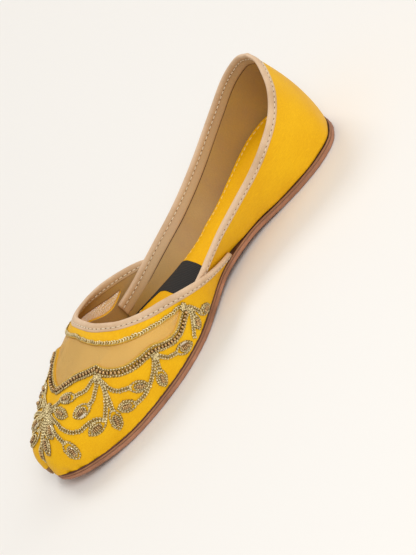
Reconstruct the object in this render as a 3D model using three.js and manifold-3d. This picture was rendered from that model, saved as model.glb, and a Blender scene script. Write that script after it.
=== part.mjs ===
import * as THREE from 'three';
import Module from 'manifold-3d';

// A mojari: a flat slip-on shoe with a silk vamp and a silk heel quarter on a thin leather sole.
// Sizes are in millimetres, +Z is up, the toe points to -Y and the shoe is the same on both sides of X = 0.
// "fromToe" is always the distance back from the toe tip, "half" the distance out from the middle plane.

const LENGTH = 248;
const ORIGIN_FROM_TOE = 125.35;
const TOE_SPRING = 7;
const TOE_SPRING_END = 50;
const ARCH_LIFT = 3.5;
const ARCH_START = 100;
const ARCH_END = 203;
const NOTCH_LIFT = 2;
const NOTCH_SPREAD = 4;
const NOTCH_REACH = 12;
const LEDGE = 0.7;
const CLEARANCE = 0.3;
const BED_CLEARANCE = 0.6;
const VAMP_WALL = 1.6;
const QUARTER_WALL = 1.6;
const QUARTER_COLUMNS = 54;
const BINDING_WIDTH = 5.2;
const BINDING_PROUD = 0.35;
const QUARTER_INSIDE_VAMP = 2.8;
const WING_TIP = 151;
const INSIDE_VAMP_END = WING_TIP + 14;
const HEEL_BULGE = 3.8;
const HEEL_BULGE_LOW = 0.8;
const HEEL_BULGE_START = 205;
const HEEL_BULGE_FULL = 245;

// Edge of the sole seen from above, from the small notch at the toe to the back of the heel.
const SOLE_OUTLINE = [
  { half: 0, fromToe: 2.6 },
  { half: 6.5, fromToe: 0.3 },
  { half: 13.5, fromToe: 1.7 },
  { half: 21.2, fromToe: 8 },
  { half: 28.5, fromToe: 20 },
  { half: 36.8, fromToe: 40 },
  { half: 41.8, fromToe: 63 },
  { half: 42.3, fromToe: 84 },
  { half: 38.3, fromToe: 103 },
  { half: 30.5, fromToe: 121 },
  { half: 23, fromToe: 139 },
  { half: 20.6, fromToe: 156 },
  { half: 20.4, fromToe: 172 },
  { half: 24.6, fromToe: 190 },
  { half: 29, fromToe: 206 },
  { half: 30.8, fromToe: 221 },
  { half: 27.6, fromToe: 234.5 },
  { half: 19.2, fromToe: 242.6 },
  { half: 10, fromToe: 246.8 },
  { half: 0, fromToe: 248 },
];

const SOLE_THICKNESS = [
  { fromToe: 0, thick: 4 },
  { fromToe: 110, thick: 4 },
  { fromToe: 155, thick: 3.8 },
  { fromToe: 205, thick: 4.2 },
  { fromToe: 248, thick: 4.2 },
];

// Side of the sole from the ground up: share of its thickness and how far it steps in.
const SOLE_EDGE = [
  { share: 0, inset: 0.6 },
  { share: 0.12, inset: 0 },
  { share: 0.6, inset: 0 },
  { share: 0.66, inset: 0.4 },
  { share: 0.73, inset: 0.1 },
  { share: 0.95, inset: 0.1 },
  { share: 1, inset: 0.35 },
];

// Each row is a section of the vamp from its foot on the sole up to its top line.
// dome is how full it stands over a straight slope, and lean turns it from a dome into a leaning wall.
const VAMP_SECTIONS = [
  { foot: 0, half: 0, fromToe: 75.4, height: 47.8, dome: 0.46, lean: 0 },
  { foot: 8, half: 9.5, fromToe: 75.8, height: 47.5, dome: 0.5, lean: 0 },
  { foot: 20, half: 13.8, fromToe: 76.9, height: 46.8, dome: 0.53, lean: 0 },
  { foot: 34, half: 18, fromToe: 78.8, height: 45.6, dome: 0.62, lean: 0 },
  { foot: 61, half: 26, fromToe: 84.5, height: 42.3, dome: 0.7, lean: 0.02 },
  { foot: 80, half: 32.3, fromToe: 93, height: 38.8, dome: 0.72, lean: 0.15 },
  { foot: 98, half: 36, fromToe: 103.2, height: 34.9, dome: 0.72, lean: 0.5 },
  { foot: 112, half: 38, fromToe: 114, height: 29.6, dome: 0.7, lean: 0.9 },
  { foot: 125, half: 37.6, fromToe: 125, height: 23.8, dome: 0.7, lean: 1 },
  { foot: 137.5, half: 32.6, fromToe: 135.5, height: 17.6, dome: 0.7, lean: 1 },
  { foot: 145.5, half: 27.2, fromToe: 144.5, height: 13, dome: 0.7, lean: 1 },
  { foot: 151, half: 24, fromToe: 150.5, height: 10.8, dome: 0.7, lean: 1 },
];
const DOME_POWER = 3.7;
const LEAN_POWER = 0.8;

// Each row is a section of the quarter, from its free front end round to the middle of the heel.
const QUARTER_SECTIONS = [
  { foot: 99.5, half: 34, fromToe: 99, height: 20 },
  { foot: 112, half: 33.7, fromToe: 111.5, height: 21 },
  { foot: 127, half: 33.8, fromToe: 127, height: 22.8 },
  { foot: 142, half: 32.6, fromToe: 142, height: 25.4 },
  { foot: 157, half: 31.6, fromToe: 156, height: 28 },
  { foot: 173, half: 32.6, fromToe: 173, height: 31 },
  { foot: 190, half: 34.4, fromToe: 190, height: 34.6 },
  { foot: 206, half: 34.9, fromToe: 205, height: 39 },
  { foot: 221, half: 33.4, fromToe: 219.5, height: 44.4 },
  { foot: 234.5, half: 28, fromToe: 231.5, height: 51 },
  { foot: 243.3, half: 19.4, fromToe: 239.4, height: 56.4 },
  { foot: 247.3, half: 9.8, fromToe: 244.6, height: 60 },
  { foot: 248, half: 0, fromToe: 246.3, height: 61 },
];

// Footbed: height of its edge and of its padded middle above the ground.
const INSOLE_SECTIONS = [
  { fromToe: 5, edge: 13.2, crown: 0.3 },
  { fromToe: 25, edge: 9.2, crown: 1.5 },
  { fromToe: 55, edge: 7.4, crown: 3.5 },
  { fromToe: 90, edge: 7.6, crown: 5 },
  { fromToe: 118, edge: 9, crown: 5 },
  { fromToe: 138, edge: 10.8, crown: 4.2 },
  { fromToe: 160, edge: 12.6, crown: 3.2 },
  { fromToe: 190, edge: 15.2, crown: 2.4 },
  { fromToe: 220, edge: 17, crown: 2 },
  { fromToe: 246, edge: 17.4, crown: 1 },
];

// Net window of the vamp on the +X side: its lower, scalloped edge and its upper edge, as shares up
// the section.
const WINDOW_ROWS = [
  { round: 0, low: 0.695, high: 0.912 },
  { round: 0.06, low: 0.733, high: 0.91 },
  { round: 0.13, low: 0.758, high: 0.9 },
  { round: 0.2, low: 0.755, high: 0.882 },
  { round: 0.26, low: 0.743, high: 0.86 },
  { round: 0.3, low: 0.728, high: 0.843 },
  { round: 0.33, low: 0.69, high: 0.828 },
  { round: 0.36, low: 0.655, high: 0.81 },
  { round: 0.405, low: 0.605, high: 0.78 },
  { round: 0.45, low: 0.557, high: 0.748 },
  { round: 0.5, low: 0.528, high: 0.705 },
  { round: 0.546, low: 0.519, high: 0.672 },
  { round: 0.575, low: 0.5, high: 0.652 },
  { round: 0.605, low: 0.448, high: 0.632 },
  { round: 0.632, low: 0.415, high: 0.615 },
  { round: 0.66, low: 0.418, high: 0.602 },
  { round: 0.685, low: 0.468, high: 0.6 },
  { round: 0.705, low: 0.535, high: 0.615 },
  { round: 0.718, low: 0.59, high: 0.625 },
];
const WINDOW_END = 0.718;
const WINDOW_COLUMNS = 56;
const NET_THICKNESS = 0.5;
const NET_DEPTH = 0.5;
const NET_MARGIN = 0.35;

const BORDER_START = 0.35;
const BORDER_WIDTH = 5;
const BORDER_THICKNESS = 1.1;

// Raised leaves on the +X side: the ends of each leaf on the vamp, and its width.
const LEAVES = [
  { name: 'toe_inner', tailRound: 0.023, tailUp: 0.501, tipRound: 0.074, tipUp: 0.385, wide: 6 },
  { name: 'toe_outer', tailRound: 0.036, tailUp: 0.568, tipRound: 0.085, tipUp: 0.487, wide: 5.6 },
  { name: 'side_low', tailRound: 0.143, tailUp: 0.43, tipRound: 0.172, tipUp: 0.2, wide: 6.4 },
  { name: 'wing_low', tailRound: 0.06, tailUp: 0.616, tipRound: 0.145, tipUp: 0.567, wide: 5.6 },
  { name: 'wing_high', tailRound: 0.172, tailUp: 0.638, tipRound: 0.075, tipUp: 0.657, wide: 5.6 },
  { name: 'under_peak', tailRound: 0.265, tailUp: 0.527, tipRound: 0.183, tipUp: 0.541, wide: 6.6 },
  { name: 'side_front', tailRound: 0.309, tailUp: 0.337, tipRound: 0.24, tipUp: 0.35, wide: 6 },
  { name: 'side_drop', tailRound: 0.346, tailUp: 0.36, tipRound: 0.325, tipUp: 0.14, wide: 6 },
  { name: 'side_middle', tailRound: 0.415, tailUp: 0.21, tipRound: 0.366, tipUp: 0.325, wide: 6.2 },
  { name: 'under_valley', tailRound: 0.433, tailUp: 0.375, tipRound: 0.481, tipUp: 0.24, wide: 6 },
  { name: 'ball_drop', tailRound: 0.535, tailUp: 0.26, tipRound: 0.512, tipUp: 0.06, wide: 5.8 },
  { name: 'ball_back', tailRound: 0.61, tailUp: 0.2, tipRound: 0.668, tipUp: 0.085, wide: 6 },
  { name: 'corner_drop', tailRound: 0.742, tailUp: 0.33, tipRound: 0.722, tipUp: 0.09, wide: 4.8 },
  { name: 'corner_back', tailRound: 0.765, tailUp: 0.24, tipRound: 0.812, tipUp: 0.12, wide: 5.2 },
];
const TOE_LEAF = { tailRound: 0, tailUp: 0.41, tipRound: 0, tipUp: 0.2, wide: 5.4 };
const LEAF_EDGE = 0.5;
const LEAF_CROWN = 1.5;

// Woven band across the footbed: how far back its two edges lie, from the middle out to the side.
const BAND_ROWS = [
  { across: 0, front: 117.5, back: 138 },
  { across: 0.45, front: 117.5, back: 138 },
  { across: 0.66, front: 115.5, back: 137.7 },
  { across: 0.8, front: 108, back: 137.4 },
  { across: 0.95, front: 97, back: 137 },
];
const BAND_THICKNESS = 0.5;
const BAND_REACH = 0.95;

const KNOT = { fromToe: 0.9, height: 11.6, half: 1.3, deep: 0.8, tall: 1.9 };

// Joins rows smoothly: the value of one column at a place on another.
function blend(rows, keyName, valueName, at) {
  const last = rows.length - 1;
  if (at <= rows[0][keyName]) return rows[0][valueName];
  if (at >= rows[last][keyName]) return rows[last][valueName];
  let i = 0;
  while (rows[i + 1][keyName] < at) i += 1;
  const slope = (a, b) => (rows[b][valueName] - rows[a][valueName]) / (rows[b][keyName] - rows[a][keyName]);
  const middle = slope(i, i + 1);
  const start = i > 0 ? (slope(i - 1, i) + middle) / 2 : middle;
  const end = i + 1 < last ? (middle + slope(i + 1, i + 2)) / 2 : middle;
  const span = rows[i + 1][keyName] - rows[i][keyName];
  const t = (at - rows[i][keyName]) / span;
  const t2 = t * t;
  const t3 = t2 * t;
  return (2 * t3 - 3 * t2 + 1) * rows[i][valueName] + (t3 - 2 * t2 + t) * span * start
    + (3 * t2 - 2 * t3) * rows[i + 1][valueName] + (t3 - t2) * span * end;
}

function mix(a, b, share) {
  return a + (b - a) * share;
}

function ease(from, to, at) {
  return THREE.MathUtils.smoothstep(at, from, to);
}

// Plan of the sole edge as one closed smooth curve, read by its share from toe (0) to heel (1).
const outlineHalf = SOLE_OUTLINE.map((row) => new THREE.Vector3(row.half, row.fromToe, 0));
const outlineOther = outlineHalf.slice(1, -1).reverse().map((p) => new THREE.Vector3(-p.x, p.y, 0));
const outline = new THREE.CatmullRomCurve3([...outlineHalf, ...outlineOther], true, 'centripetal');
outline.arcLengthDivisions = 2400;

function plan(share, inset) {
  const point = outline.getPointAt(share / 2);
  const along = outline.getTangentAt(share / 2);
  return { half: Math.max(0, point.x - along.y * inset), fromToe: point.y + along.x * inset };
}

function shareAt(fromToe) {
  if (fromToe >= LENGTH) return 1;
  if (fromToe <= 0) return 0;
  let low = 0.04;
  let high = 1;
  for (let step = 0; step < 40; step += 1) {
    const middle = (low + high) / 2;
    if (outline.getPointAt(middle / 2).y < fromToe) low = middle;
    else high = middle;
  }
  return (low + high) / 2;
}

function ground(half, fromToe) {
  const spring = fromToe < TOE_SPRING_END ? TOE_SPRING * (1 - fromToe / TOE_SPRING_END) ** 2 : 0;
  const inArch = fromToe > ARCH_START && fromToe < ARCH_END;
  const archShare = (fromToe - ARCH_START) / (ARCH_END - ARCH_START);
  const arch = inArch ? ARCH_LIFT * Math.sin(Math.PI * archShare) ** 2 : 0;
  const notch = NOTCH_LIFT * Math.exp(-((half / NOTCH_SPREAD) ** 2)) * Math.max(0, 1 - fromToe / NOTCH_REACH);
  return spring + arch + notch;
}

function soleTop(half, fromToe) {
  return ground(half, fromToe) + blend(SOLE_THICKNESS, 'fromToe', 'thick', fromToe);
}

function place(half, fromToe, height) {
  return new THREE.Vector3(half, fromToe - ORIGIN_FROM_TOE, height);
}

// Outer face of the vamp. round runs from the toe middle (0) to the wing tip (1), and up from the sole (0)
// to the top line (1).
const wingShare = shareAt(WING_TIP);
const vampRows = VAMP_SECTIONS.map((row) => ({ ...row, round: shareAt(row.foot) / wingShare }));

function vampFace(round, up) {
  const at = Math.abs(round);
  const foot = plan(at * wingShare, LEDGE);
  const footHeight = soleTop(foot.half, foot.fromToe) + CLEARANCE;
  const lean = blend(vampRows, 'round', 'lean', at);
  const dome = blend(vampRows, 'round', 'dome', at);
  const angle = (up * Math.PI) / 2;
  const power = (value) => Math.abs(value) ** DOME_POWER;
  const reach = (power(Math.cos(angle)) + power(Math.sin(angle))) ** (-1 / DOME_POWER);
  const inward = 1 - reach * Math.cos(angle);
  const risen = dome * reach * Math.sin(angle) + (1 - dome) * inward;
  const across = mix(inward, Math.sign(up) * Math.abs(up) ** LEAN_POWER, lean);
  const rise = mix(risen, up, lean);
  const half = mix(foot.half, blend(vampRows, 'round', 'half', at), across);
  const fromToe = mix(foot.fromToe, blend(vampRows, 'round', 'fromToe', at), across);
  const height = mix(footHeight, blend(vampRows, 'round', 'height', at), rise);
  return place(Math.sign(round) * half, fromToe, height);
}

// Outer face of the quarter. round runs from the front end at +X (-1) past the heel middle (0) to the
// other end (1).
const quarterRows = QUARTER_SECTIONS.map((row) => ({ ...row, round: shareAt(row.foot) }));
const frontShare = quarterRows[0].round;

function quarterFace(round, up) {
  const at = mix(1, frontShare, Math.abs(round));
  const bare = plan(at, 0);
  const inset = LEDGE + QUARTER_INSIDE_VAMP * (1 - ease(WING_TIP, INSIDE_VAMP_END, bare.fromToe));
  const foot = plan(at, inset);
  const footHeight = soleTop(foot.half, foot.fromToe) + BED_CLEARANCE;
  const across = Math.sign(up) * Math.abs(up) ** LEAN_POWER;
  const bulging = ease(HEEL_BULGE_START, HEEL_BULGE_FULL, bare.fromToe);
  const bulge = HEEL_BULGE * bulging * Math.sin(Math.PI * Math.abs(up) ** HEEL_BULGE_LOW);
  const half = mix(foot.half, blend(quarterRows, 'round', 'half', at), across);
  const fromToe = mix(foot.fromToe, blend(quarterRows, 'round', 'fromToe', at), across) + bulge;
  const height = mix(footHeight, blend(quarterRows, 'round', 'height', at), up);
  return place(-Math.sign(round) * half, fromToe, height);
}

// Point of a face pushed out (or, below zero, in) along its own normal.
function lifted(face, round, up, out) {
  const step = 0.004;
  const low = Math.max(up - step, 0.0005);
  const alongUp = face(round, up + step).sub(face(round, low));
  const alongRound = face(round + step, Math.max(up, 0.0005)).sub(face(round - step, Math.max(up, 0.0005)));
  const normal = alongRound.cross(alongUp).normalize();
  return face(round, up).addScaledVector(normal, out);
}

// Share up a section that lies a given distance below its top line.
function upBelowTop(face, round, distance) {
  const steps = 60;
  let gone = 0;
  let last = face(round, 1);
  for (let i = 1; i <= steps; i += 1) {
    const next = face(round, 1 - i / steps);
    const piece = next.distanceTo(last);
    if (gone + piece >= distance) return 1 - (i - 1 + (distance - gone) / piece) / steps;
    gone += piece;
    last = next;
  }
  return 0;
}

// Place on the vamp's face nearest to a point, found by stepping from a place close by.
function settle(target, round, up) {
  let at = round;
  let rise = up;
  const step = 0.002;
  for (let turn = 0; turn < 12; turn += 1) {
    const here = vampFace(at, rise);
    const along = vampFace(at + step, rise).sub(here).divideScalar(step);
    const upward = vampFace(at, rise + step).sub(here).divideScalar(step);
    const miss = target.clone().sub(here);
    const a = along.dot(along);
    const b = along.dot(upward);
    const c = upward.dot(upward);
    const det = a * c - b * b;
    at += (c * miss.dot(along) - b * miss.dot(upward)) / det;
    rise += (a * miss.dot(upward) - b * miss.dot(along)) / det;
  }
  return { round: at, up: rise };
}

// Closed mesh from shared vertices and triangles, turned so that its faces point outwards.
function solid(points, triangles) {
  const signed = (t) => points[t[0]].dot(new THREE.Vector3().crossVectors(points[t[1]], points[t[2]]));
  const inward = triangles.reduce((sum, t) => sum + signed(t), 0) < 0;
  const facing = inward ? triangles.map(([a, b, c]) => [a, c, b]) : triangles;
  const geometry = new THREE.BufferGeometry();
  const flat = points.flatMap((p) => [p.x, p.y, p.z]);
  geometry.setAttribute('position', new THREE.Float32BufferAttribute(flat, 3));
  geometry.setIndex(facing.flat());
  geometry.computeVertexNormals();
  return geometry;
}

// Solid between an outer and an inner sheet of the same grid, closed all round its edge.
function shell(columns, rows, outer, inner) {
  const points = [];
  for (const sheet of [outer, inner]) {
    for (let i = 0; i <= columns; i += 1) {
      for (let j = 0; j <= rows; j += 1) points.push(sheet(i / columns, j / rows));
    }
  }
  const half = points.length / 2;
  const id = (i, j) => i * (rows + 1) + j;
  const triangles = [];
  const quad = (a, b, c, d) => triangles.push([a, b, c], [a, c, d]);
  for (let i = 0; i < columns; i += 1) {
    for (let j = 0; j < rows; j += 1) {
      quad(id(i, j), id(i + 1, j), id(i + 1, j + 1), id(i, j + 1));
      quad(half + id(i, j), half + id(i, j + 1), half + id(i + 1, j + 1), half + id(i + 1, j));
    }
    quad(id(i + 1, 0), id(i, 0), half + id(i, 0), half + id(i + 1, 0));
    quad(id(i, rows), id(i + 1, rows), half + id(i + 1, rows), half + id(i, rows));
  }
  for (let j = 0; j < rows; j += 1) {
    quad(id(0, j), id(0, j + 1), half + id(0, j + 1), half + id(0, j));
    quad(id(columns, j + 1), id(columns, j), half + id(columns, j), half + id(columns, j + 1));
  }
  return solid(points, triangles);
}

// Solid swept through closed loops of equal size, with flat fans on both ends.
function sweep(loops) {
  const size = loops[0].length;
  const points = loops.flat();
  const triangles = [];
  for (let i = 0; i + 1 < loops.length; i += 1) {
    for (let j = 0; j < size; j += 1) {
      const a = i * size + j;
      const b = i * size + ((j + 1) % size);
      triangles.push([a, b, b + size], [a, b + size, a + size]);
    }
  }
  const end = (loops.length - 1) * size;
  for (let j = 1; j + 1 < size; j += 1) {
    triangles.push([0, j + 1, j], [end, end + j, end + j + 1]);
  }
  return solid(points, triangles);
}

function part(name, geometry, colour, roughness, metalness = 0) {
  const material = new THREE.MeshStandardMaterial({ color: colour, roughness, metalness });
  const mesh = new THREE.Mesh(geometry, material);
  mesh.name = name;
  return mesh;
}

function outsole() {
  const sides = 46;
  const fan = 7;
  const count = sides * 2;
  const ringShare = (i) => (i / sides) ** 1.2;
  const ring = (inset, share) => Array.from({ length: count }, (_, i) => {
    const mirrored = i > sides;
    const edge = plan(ringShare(mirrored ? count - i : i), inset);
    const low = ground(edge.half, edge.fromToe);
    const height = mix(low, soleTop(edge.half, edge.fromToe), share);
    return place(mirrored ? -edge.half : edge.half, edge.fromToe, height);
  });
  const rings = SOLE_EDGE.map((row) => ring(row.inset, row.share));
  const points = rings.flat();
  const triangles = [];
  for (let level = 0; level + 1 < rings.length; level += 1) {
    for (let i = 0; i < count; i += 1) {
      const a = level * count + i;
      const b = level * count + ((i + 1) % count);
      triangles.push([a, b, b + count], [a, b + count, a + count]);
    }
  }
  const cap = (start, upward) => {
    const pivot = points.length;
    points.push(points[start + fan].clone().setX(0));
    const face = (a, b, c) => triangles.push(upward ? [a, b, c] : [a, c, b]);
    const at = (i) => start + ((i + count) % count);
    for (let i = -fan; i < fan; i += 1) face(pivot, at(i), at(i + 1));
    face(pivot, at(fan), at(fan + 1));
    face(pivot, at(fan + 1), at(-fan - 1));
    face(pivot, at(-fan - 1), at(-fan));
    for (let i = fan + 1; i < sides - 1; i += 1) {
      face(at(i), at(i + 1), at(-i - 1));
      face(at(i), at(-i - 1), at(-i));
    }
    face(at(sides - 1), at(sides), at(-sides + 1));
  };
  cap(0, false);
  cap((rings.length - 1) * count, true);
  return solid(points, triangles);
}

function insoleInset(fromToe) {
  const behindWing = ease(WING_TIP, INSIDE_VAMP_END, fromToe);
  return LEDGE + QUARTER_INSIDE_VAMP * (1 - behindWing) + QUARTER_WALL + BED_CLEARANCE;
}

// Half width of the footbed at a place along it, read off the sole outline moved in by the walls.
function insoleHalf(fromToe) {
  let low = 0.02;
  let high = 1;
  for (let step = 0; step < 30; step += 1) {
    const middle = (low + high) / 2;
    if (plan(middle, insoleInset(fromToe)).fromToe < fromToe) low = middle;
    else high = middle;
  }
  return plan(low, insoleInset(fromToe)).half;
}

function insoleHeight(acrossShare, fromToe) {
  const edge = blend(INSOLE_SECTIONS, 'fromToe', 'edge', fromToe);
  const crown = blend(INSOLE_SECTIONS, 'fromToe', 'crown', fromToe);
  return edge + crown * (1 - acrossShare ** 2);
}

function insole() {
  const stations = 34;
  const start = 10;
  const end = 244.2;
  const across = [-1, -0.66, -0.33, 0, 0.33, 0.66, 1];
  const loops = Array.from({ length: stations + 1 }, (_, i) => {
    const share = (1 - Math.cos((Math.PI * i) / stations)) / 2;
    const fromToe = mix(start, end, mix(i / stations, share, 0.7));
    const half = insoleHalf(fromToe);
    const low = soleTop(half, fromToe) + BED_CLEARANCE;
    const top = across.map((x) => place(half * x, fromToe, insoleHeight(x, fromToe)));
    return [place(half, fromToe, low), ...top.reverse(), place(-half, fromToe, low)];
  });
  return sweep(loops);
}

// Sheet over the net window: across from wing to wing, rise from its lower to its upper edge, and out
// along the normal.
function windowSheet(across, rise, margin, out) {
  const round = WINDOW_END * (2 * across - 1);
  const spanLow = 0.5;
  const spanHigh = 0.9;
  const span = vampFace(round, spanLow).distanceTo(vampFace(round, spanHigh));
  const perMillimetre = (spanHigh - spanLow) / span;
  const low = blend(WINDOW_ROWS, 'round', 'low', Math.abs(round)) + margin * perMillimetre;
  const high = blend(WINDOW_ROWS, 'round', 'high', Math.abs(round)) - margin * perMillimetre;
  return lifted(vampFace, round, mix(low, high, rise), out);
}

const wasm = await Module();
wasm.setup();

function toManifold(geometry) {
  const vertProperties = new Float32Array(geometry.attributes.position.array);
  const triVerts = new Uint32Array(geometry.index.array);
  return new wasm.Manifold(new wasm.Mesh({ numProp: 3, vertProperties, triVerts }));
}

function cut(geometry, cutter) {
  const mesh = toManifold(geometry).subtract(toManifold(cutter)).getMesh();
  const result = new THREE.BufferGeometry();
  result.setAttribute('position', new THREE.Float32BufferAttribute(mesh.vertProperties, 3));
  result.setIndex(new THREE.Uint32BufferAttribute(mesh.triVerts, 1));
  result.computeVertexNormals();
  return result;
}

function vamp() {
  const columns = 52;
  const rows = 9;
  const wallEnd = 0.965;
  const overcut = 2;
  const round = (i) => {
    const side = 2 * i - 1;
    return wallEnd * Math.sign(side) * Math.abs(side) ** 1.1;
  };
  const top = (at) => upBelowTop(vampFace, at, BINDING_WIDTH + CLEARANCE);
  const whole = shell(
    columns,
    rows,
    (i, j) => vampFace(round(i), j * top(round(i))),
    (i, j) => lifted(vampFace, round(i), j * top(round(i)), -VAMP_WALL),
  );
  const opening = shell(
    WINDOW_COLUMNS,
    2,
    (i, j) => windowSheet(i, j, 0, overcut),
    (i, j) => windowSheet(i, j, 0, -VAMP_WALL - overcut),
  );
  return cut(whole, opening);
}

function net() {
  const endMargin = 0.01;
  const across = (i) => mix(endMargin, 1 - endMargin, i);
  return shell(
    WINDOW_COLUMNS,
    3,
    (i, j) => windowSheet(across(i), j, NET_MARGIN, -NET_DEPTH),
    (i, j) => windowSheet(across(i), j, NET_MARGIN, -NET_DEPTH - NET_THICKNESS),
  );
}

// Raised edging of piping, chain stitch and beads along the scalloped edge of the window.
function scallopBorder() {
  const half = 36;
  const reach = 1.012;
  const step = 0.02;
  const edge = (at) => vampFace(at, blend(WINDOW_ROWS, 'round', 'low', Math.abs(at)));
  const loops = Array.from({ length: 2 * half + 1 }, (_, i) => {
    const round = WINDOW_END * reach * (i / half - 1);
    const low = blend(WINDOW_ROWS, 'round', 'low', Math.abs(round));
    const here = edge(round);
    const along = edge(round + step).sub(edge(round - step)).normalize();
    const normal = lifted(vampFace, round, low, 1).sub(here);
    const outward = along.cross(normal).normalize();
    const from = settle(here.clone().addScaledVector(outward, BORDER_START), round, low);
    const to = settle(here.clone().addScaledVector(outward, BORDER_START + BORDER_WIDTH), round, low);
    const point = (share, out) => {
      return lifted(vampFace, mix(from.round, to.round, share), mix(from.up, to.up, share), CLEARANCE + out);
    };
    return [
      point(0, 0),
      point(1, 0),
      point(1, BORDER_THICKNESS * 0.5),
      point(0.5, BORDER_THICKNESS),
      point(0, BORDER_THICKNESS * 0.5),
    ];
  });
  return sweep(loops);
}

// One raised leaf: an almond between two places on the vamp, thin at its edge and crowned in the middle.
function leaf(row, side) {
  const corners = 10;
  const shoulderShare = 0.55;
  const shoulderHeight = 0.85;
  const pointed = 1.3;
  const tail = vampFace(side * row.tailRound, row.tailUp);
  const tip = vampFace(side * row.tipRound, row.tipUp);
  const centre = tail.clone().add(tip).multiplyScalar(0.5);
  const middle = settle(centre, (side * (row.tailRound + row.tipRound)) / 2, (row.tailUp + row.tipUp) / 2);
  const normal = lifted(vampFace, middle.round, middle.up, 1).sub(vampFace(middle.round, middle.up));
  const axis = tip.clone().sub(tail).multiplyScalar(0.5);
  const sideways = normal.clone().cross(axis).normalize().multiplyScalar(row.wide / 2);
  const spot = (share, angle, out) => {
    const reach = Math.abs(Math.sin(angle)) ** pointed * Math.sign(Math.sin(angle));
    const target = centre.clone().addScaledVector(axis, share * Math.cos(angle));
    target.addScaledVector(sideways, share * reach);
    const at = settle(target, middle.round, middle.up);
    return lifted(vampFace, at.round, at.up, CLEARANCE + out);
  };
  const points = [spot(0, 0, 0), spot(0, 0, LEAF_CROWN)];
  const ring = (share, out) => {
    const start = points.length;
    for (let i = 0; i < corners; i += 1) points.push(spot(share, (2 * Math.PI * i) / corners, out));
    return start;
  };
  const base = ring(1, 0);
  const rim = ring(1, LEAF_EDGE);
  const shoulder = ring(shoulderShare, LEAF_CROWN * shoulderHeight);
  const triangles = [];
  for (let i = 0; i < corners; i += 1) {
    const next = (i + 1) % corners;
    triangles.push([0, base + next, base + i], [1, shoulder + i, shoulder + next]);
    triangles.push([base + i, base + next, rim + next], [base + i, rim + next, rim + i]);
    triangles.push([rim + i, rim + next, shoulder + next], [rim + i, shoulder + next, shoulder + i]);
  }
  return solid(points, triangles);
}

// Woven band laid across the footbed and running forward along both of its edges.
function insoleBand() {
  const sheet = (out) => (i, j) => {
    const across = BAND_REACH * (2 * i - 1);
    const front = blend(BAND_ROWS, 'across', 'front', Math.abs(across));
    const back = blend(BAND_ROWS, 'across', 'back', Math.abs(across));
    const fromToe = mix(front, back, j);
    return place(insoleHalf(fromToe) * across, fromToe, insoleHeight(across, fromToe) + CLEARANCE + out);
  };
  return shell(16, 4, sheet(BAND_THICKNESS), sheet(0));
}

// Small thread knot that closes the notch at the toe.
function toeKnot() {
  const geometry = new THREE.SphereGeometry(1, 10, 6);
  geometry.scale(KNOT.half, KNOT.deep, KNOT.tall);
  geometry.translate(0, KNOT.fromToe - ORIGIN_FROM_TOE, KNOT.height);
  return geometry;
}

// Folded leather strip over a top edge: a rounded band a little proud of the wall on both sides.
function binding(face, wall, stations) {
  const shoulder = 0.9;
  const rim = 0.2;
  return sweep(stations.map((round) => {
    const low = upBelowTop(face, round, BINDING_WIDTH);
    const high = upBelowTop(face, round, shoulder);
    return [
      lifted(face, round, low, BINDING_PROUD),
      lifted(face, round, high, BINDING_PROUD),
      lifted(face, round, 1, -wall * rim),
      lifted(face, round, 1, -wall * (1 - rim)),
      lifted(face, round, high, -wall - BINDING_PROUD),
      lifted(face, round, low, -wall - BINDING_PROUD),
    ];
  }));
}

function vampBinding() {
  const half = 30;
  const stations = Array.from({ length: 2 * half + 1 }, (_, i) => {
    const side = i / half - 1;
    return Math.sign(side) * Math.abs(side) ** 0.8;
  });
  return binding(vampFace, VAMP_WALL, stations);
}

function quarter() {
  const rows = 5;
  const top = (at) => upBelowTop(quarterFace, at, BINDING_WIDTH + CLEARANCE);
  const round = (i) => 2 * i - 1;
  return shell(
    QUARTER_COLUMNS,
    rows,
    (i, j) => quarterFace(round(i), j * top(round(i))),
    (i, j) => lifted(quarterFace, round(i), j * top(round(i)), -QUARTER_WALL),
  );
}

function quarterBinding() {
  const stations = Array.from({ length: QUARTER_COLUMNS + 1 }, (_, i) => (2 * i) / QUARTER_COLUMNS - 1);
  return binding(quarterFace, QUARTER_WALL, stations);
}

const group = new THREE.Group();
group.add(part('outsole', outsole(), 0x9c6a49, 0.6));
group.add(part('insole', insole(), 0xe8ae1c, 0.7));
group.add(part('vamp', vamp(), 0xf0b41e, 0.5));
group.add(part('vamp_binding', vampBinding(), 0xd9b48c, 0.6));
group.add(part('quarter', quarter(), 0xf0b41e, 0.5));
group.add(part('quarter_binding', quarterBinding(), 0xd9b48c, 0.6));
group.add(part('vamp_net', net(), 0xc9a052, 0.8));
group.add(part('scallop_border', scallopBorder(), 0xa67c38, 0.5, 0.4));
group.add(part('insole_band', insoleBand(), 0x2e2b2a, 0.9));
group.add(part('toe_knot', toeKnot(), 0xdcc6a0, 0.8));
group.add(part('leaf_toe', leaf(TOE_LEAF, 1), 0xb58b40, 0.4, 0.6));
for (const row of LEAVES) {
  group.add(part(`leaf_${row.name}_right`, leaf(row, 1), 0xb58b40, 0.4, 0.6));
  group.add(part(`leaf_${row.name}_left`, leaf(row, -1), 0xb58b40, 0.4, 0.6));
}
export default group;
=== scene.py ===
import math
import bpy
import numpy as np
from mathutils import Matrix, Vector


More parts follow.
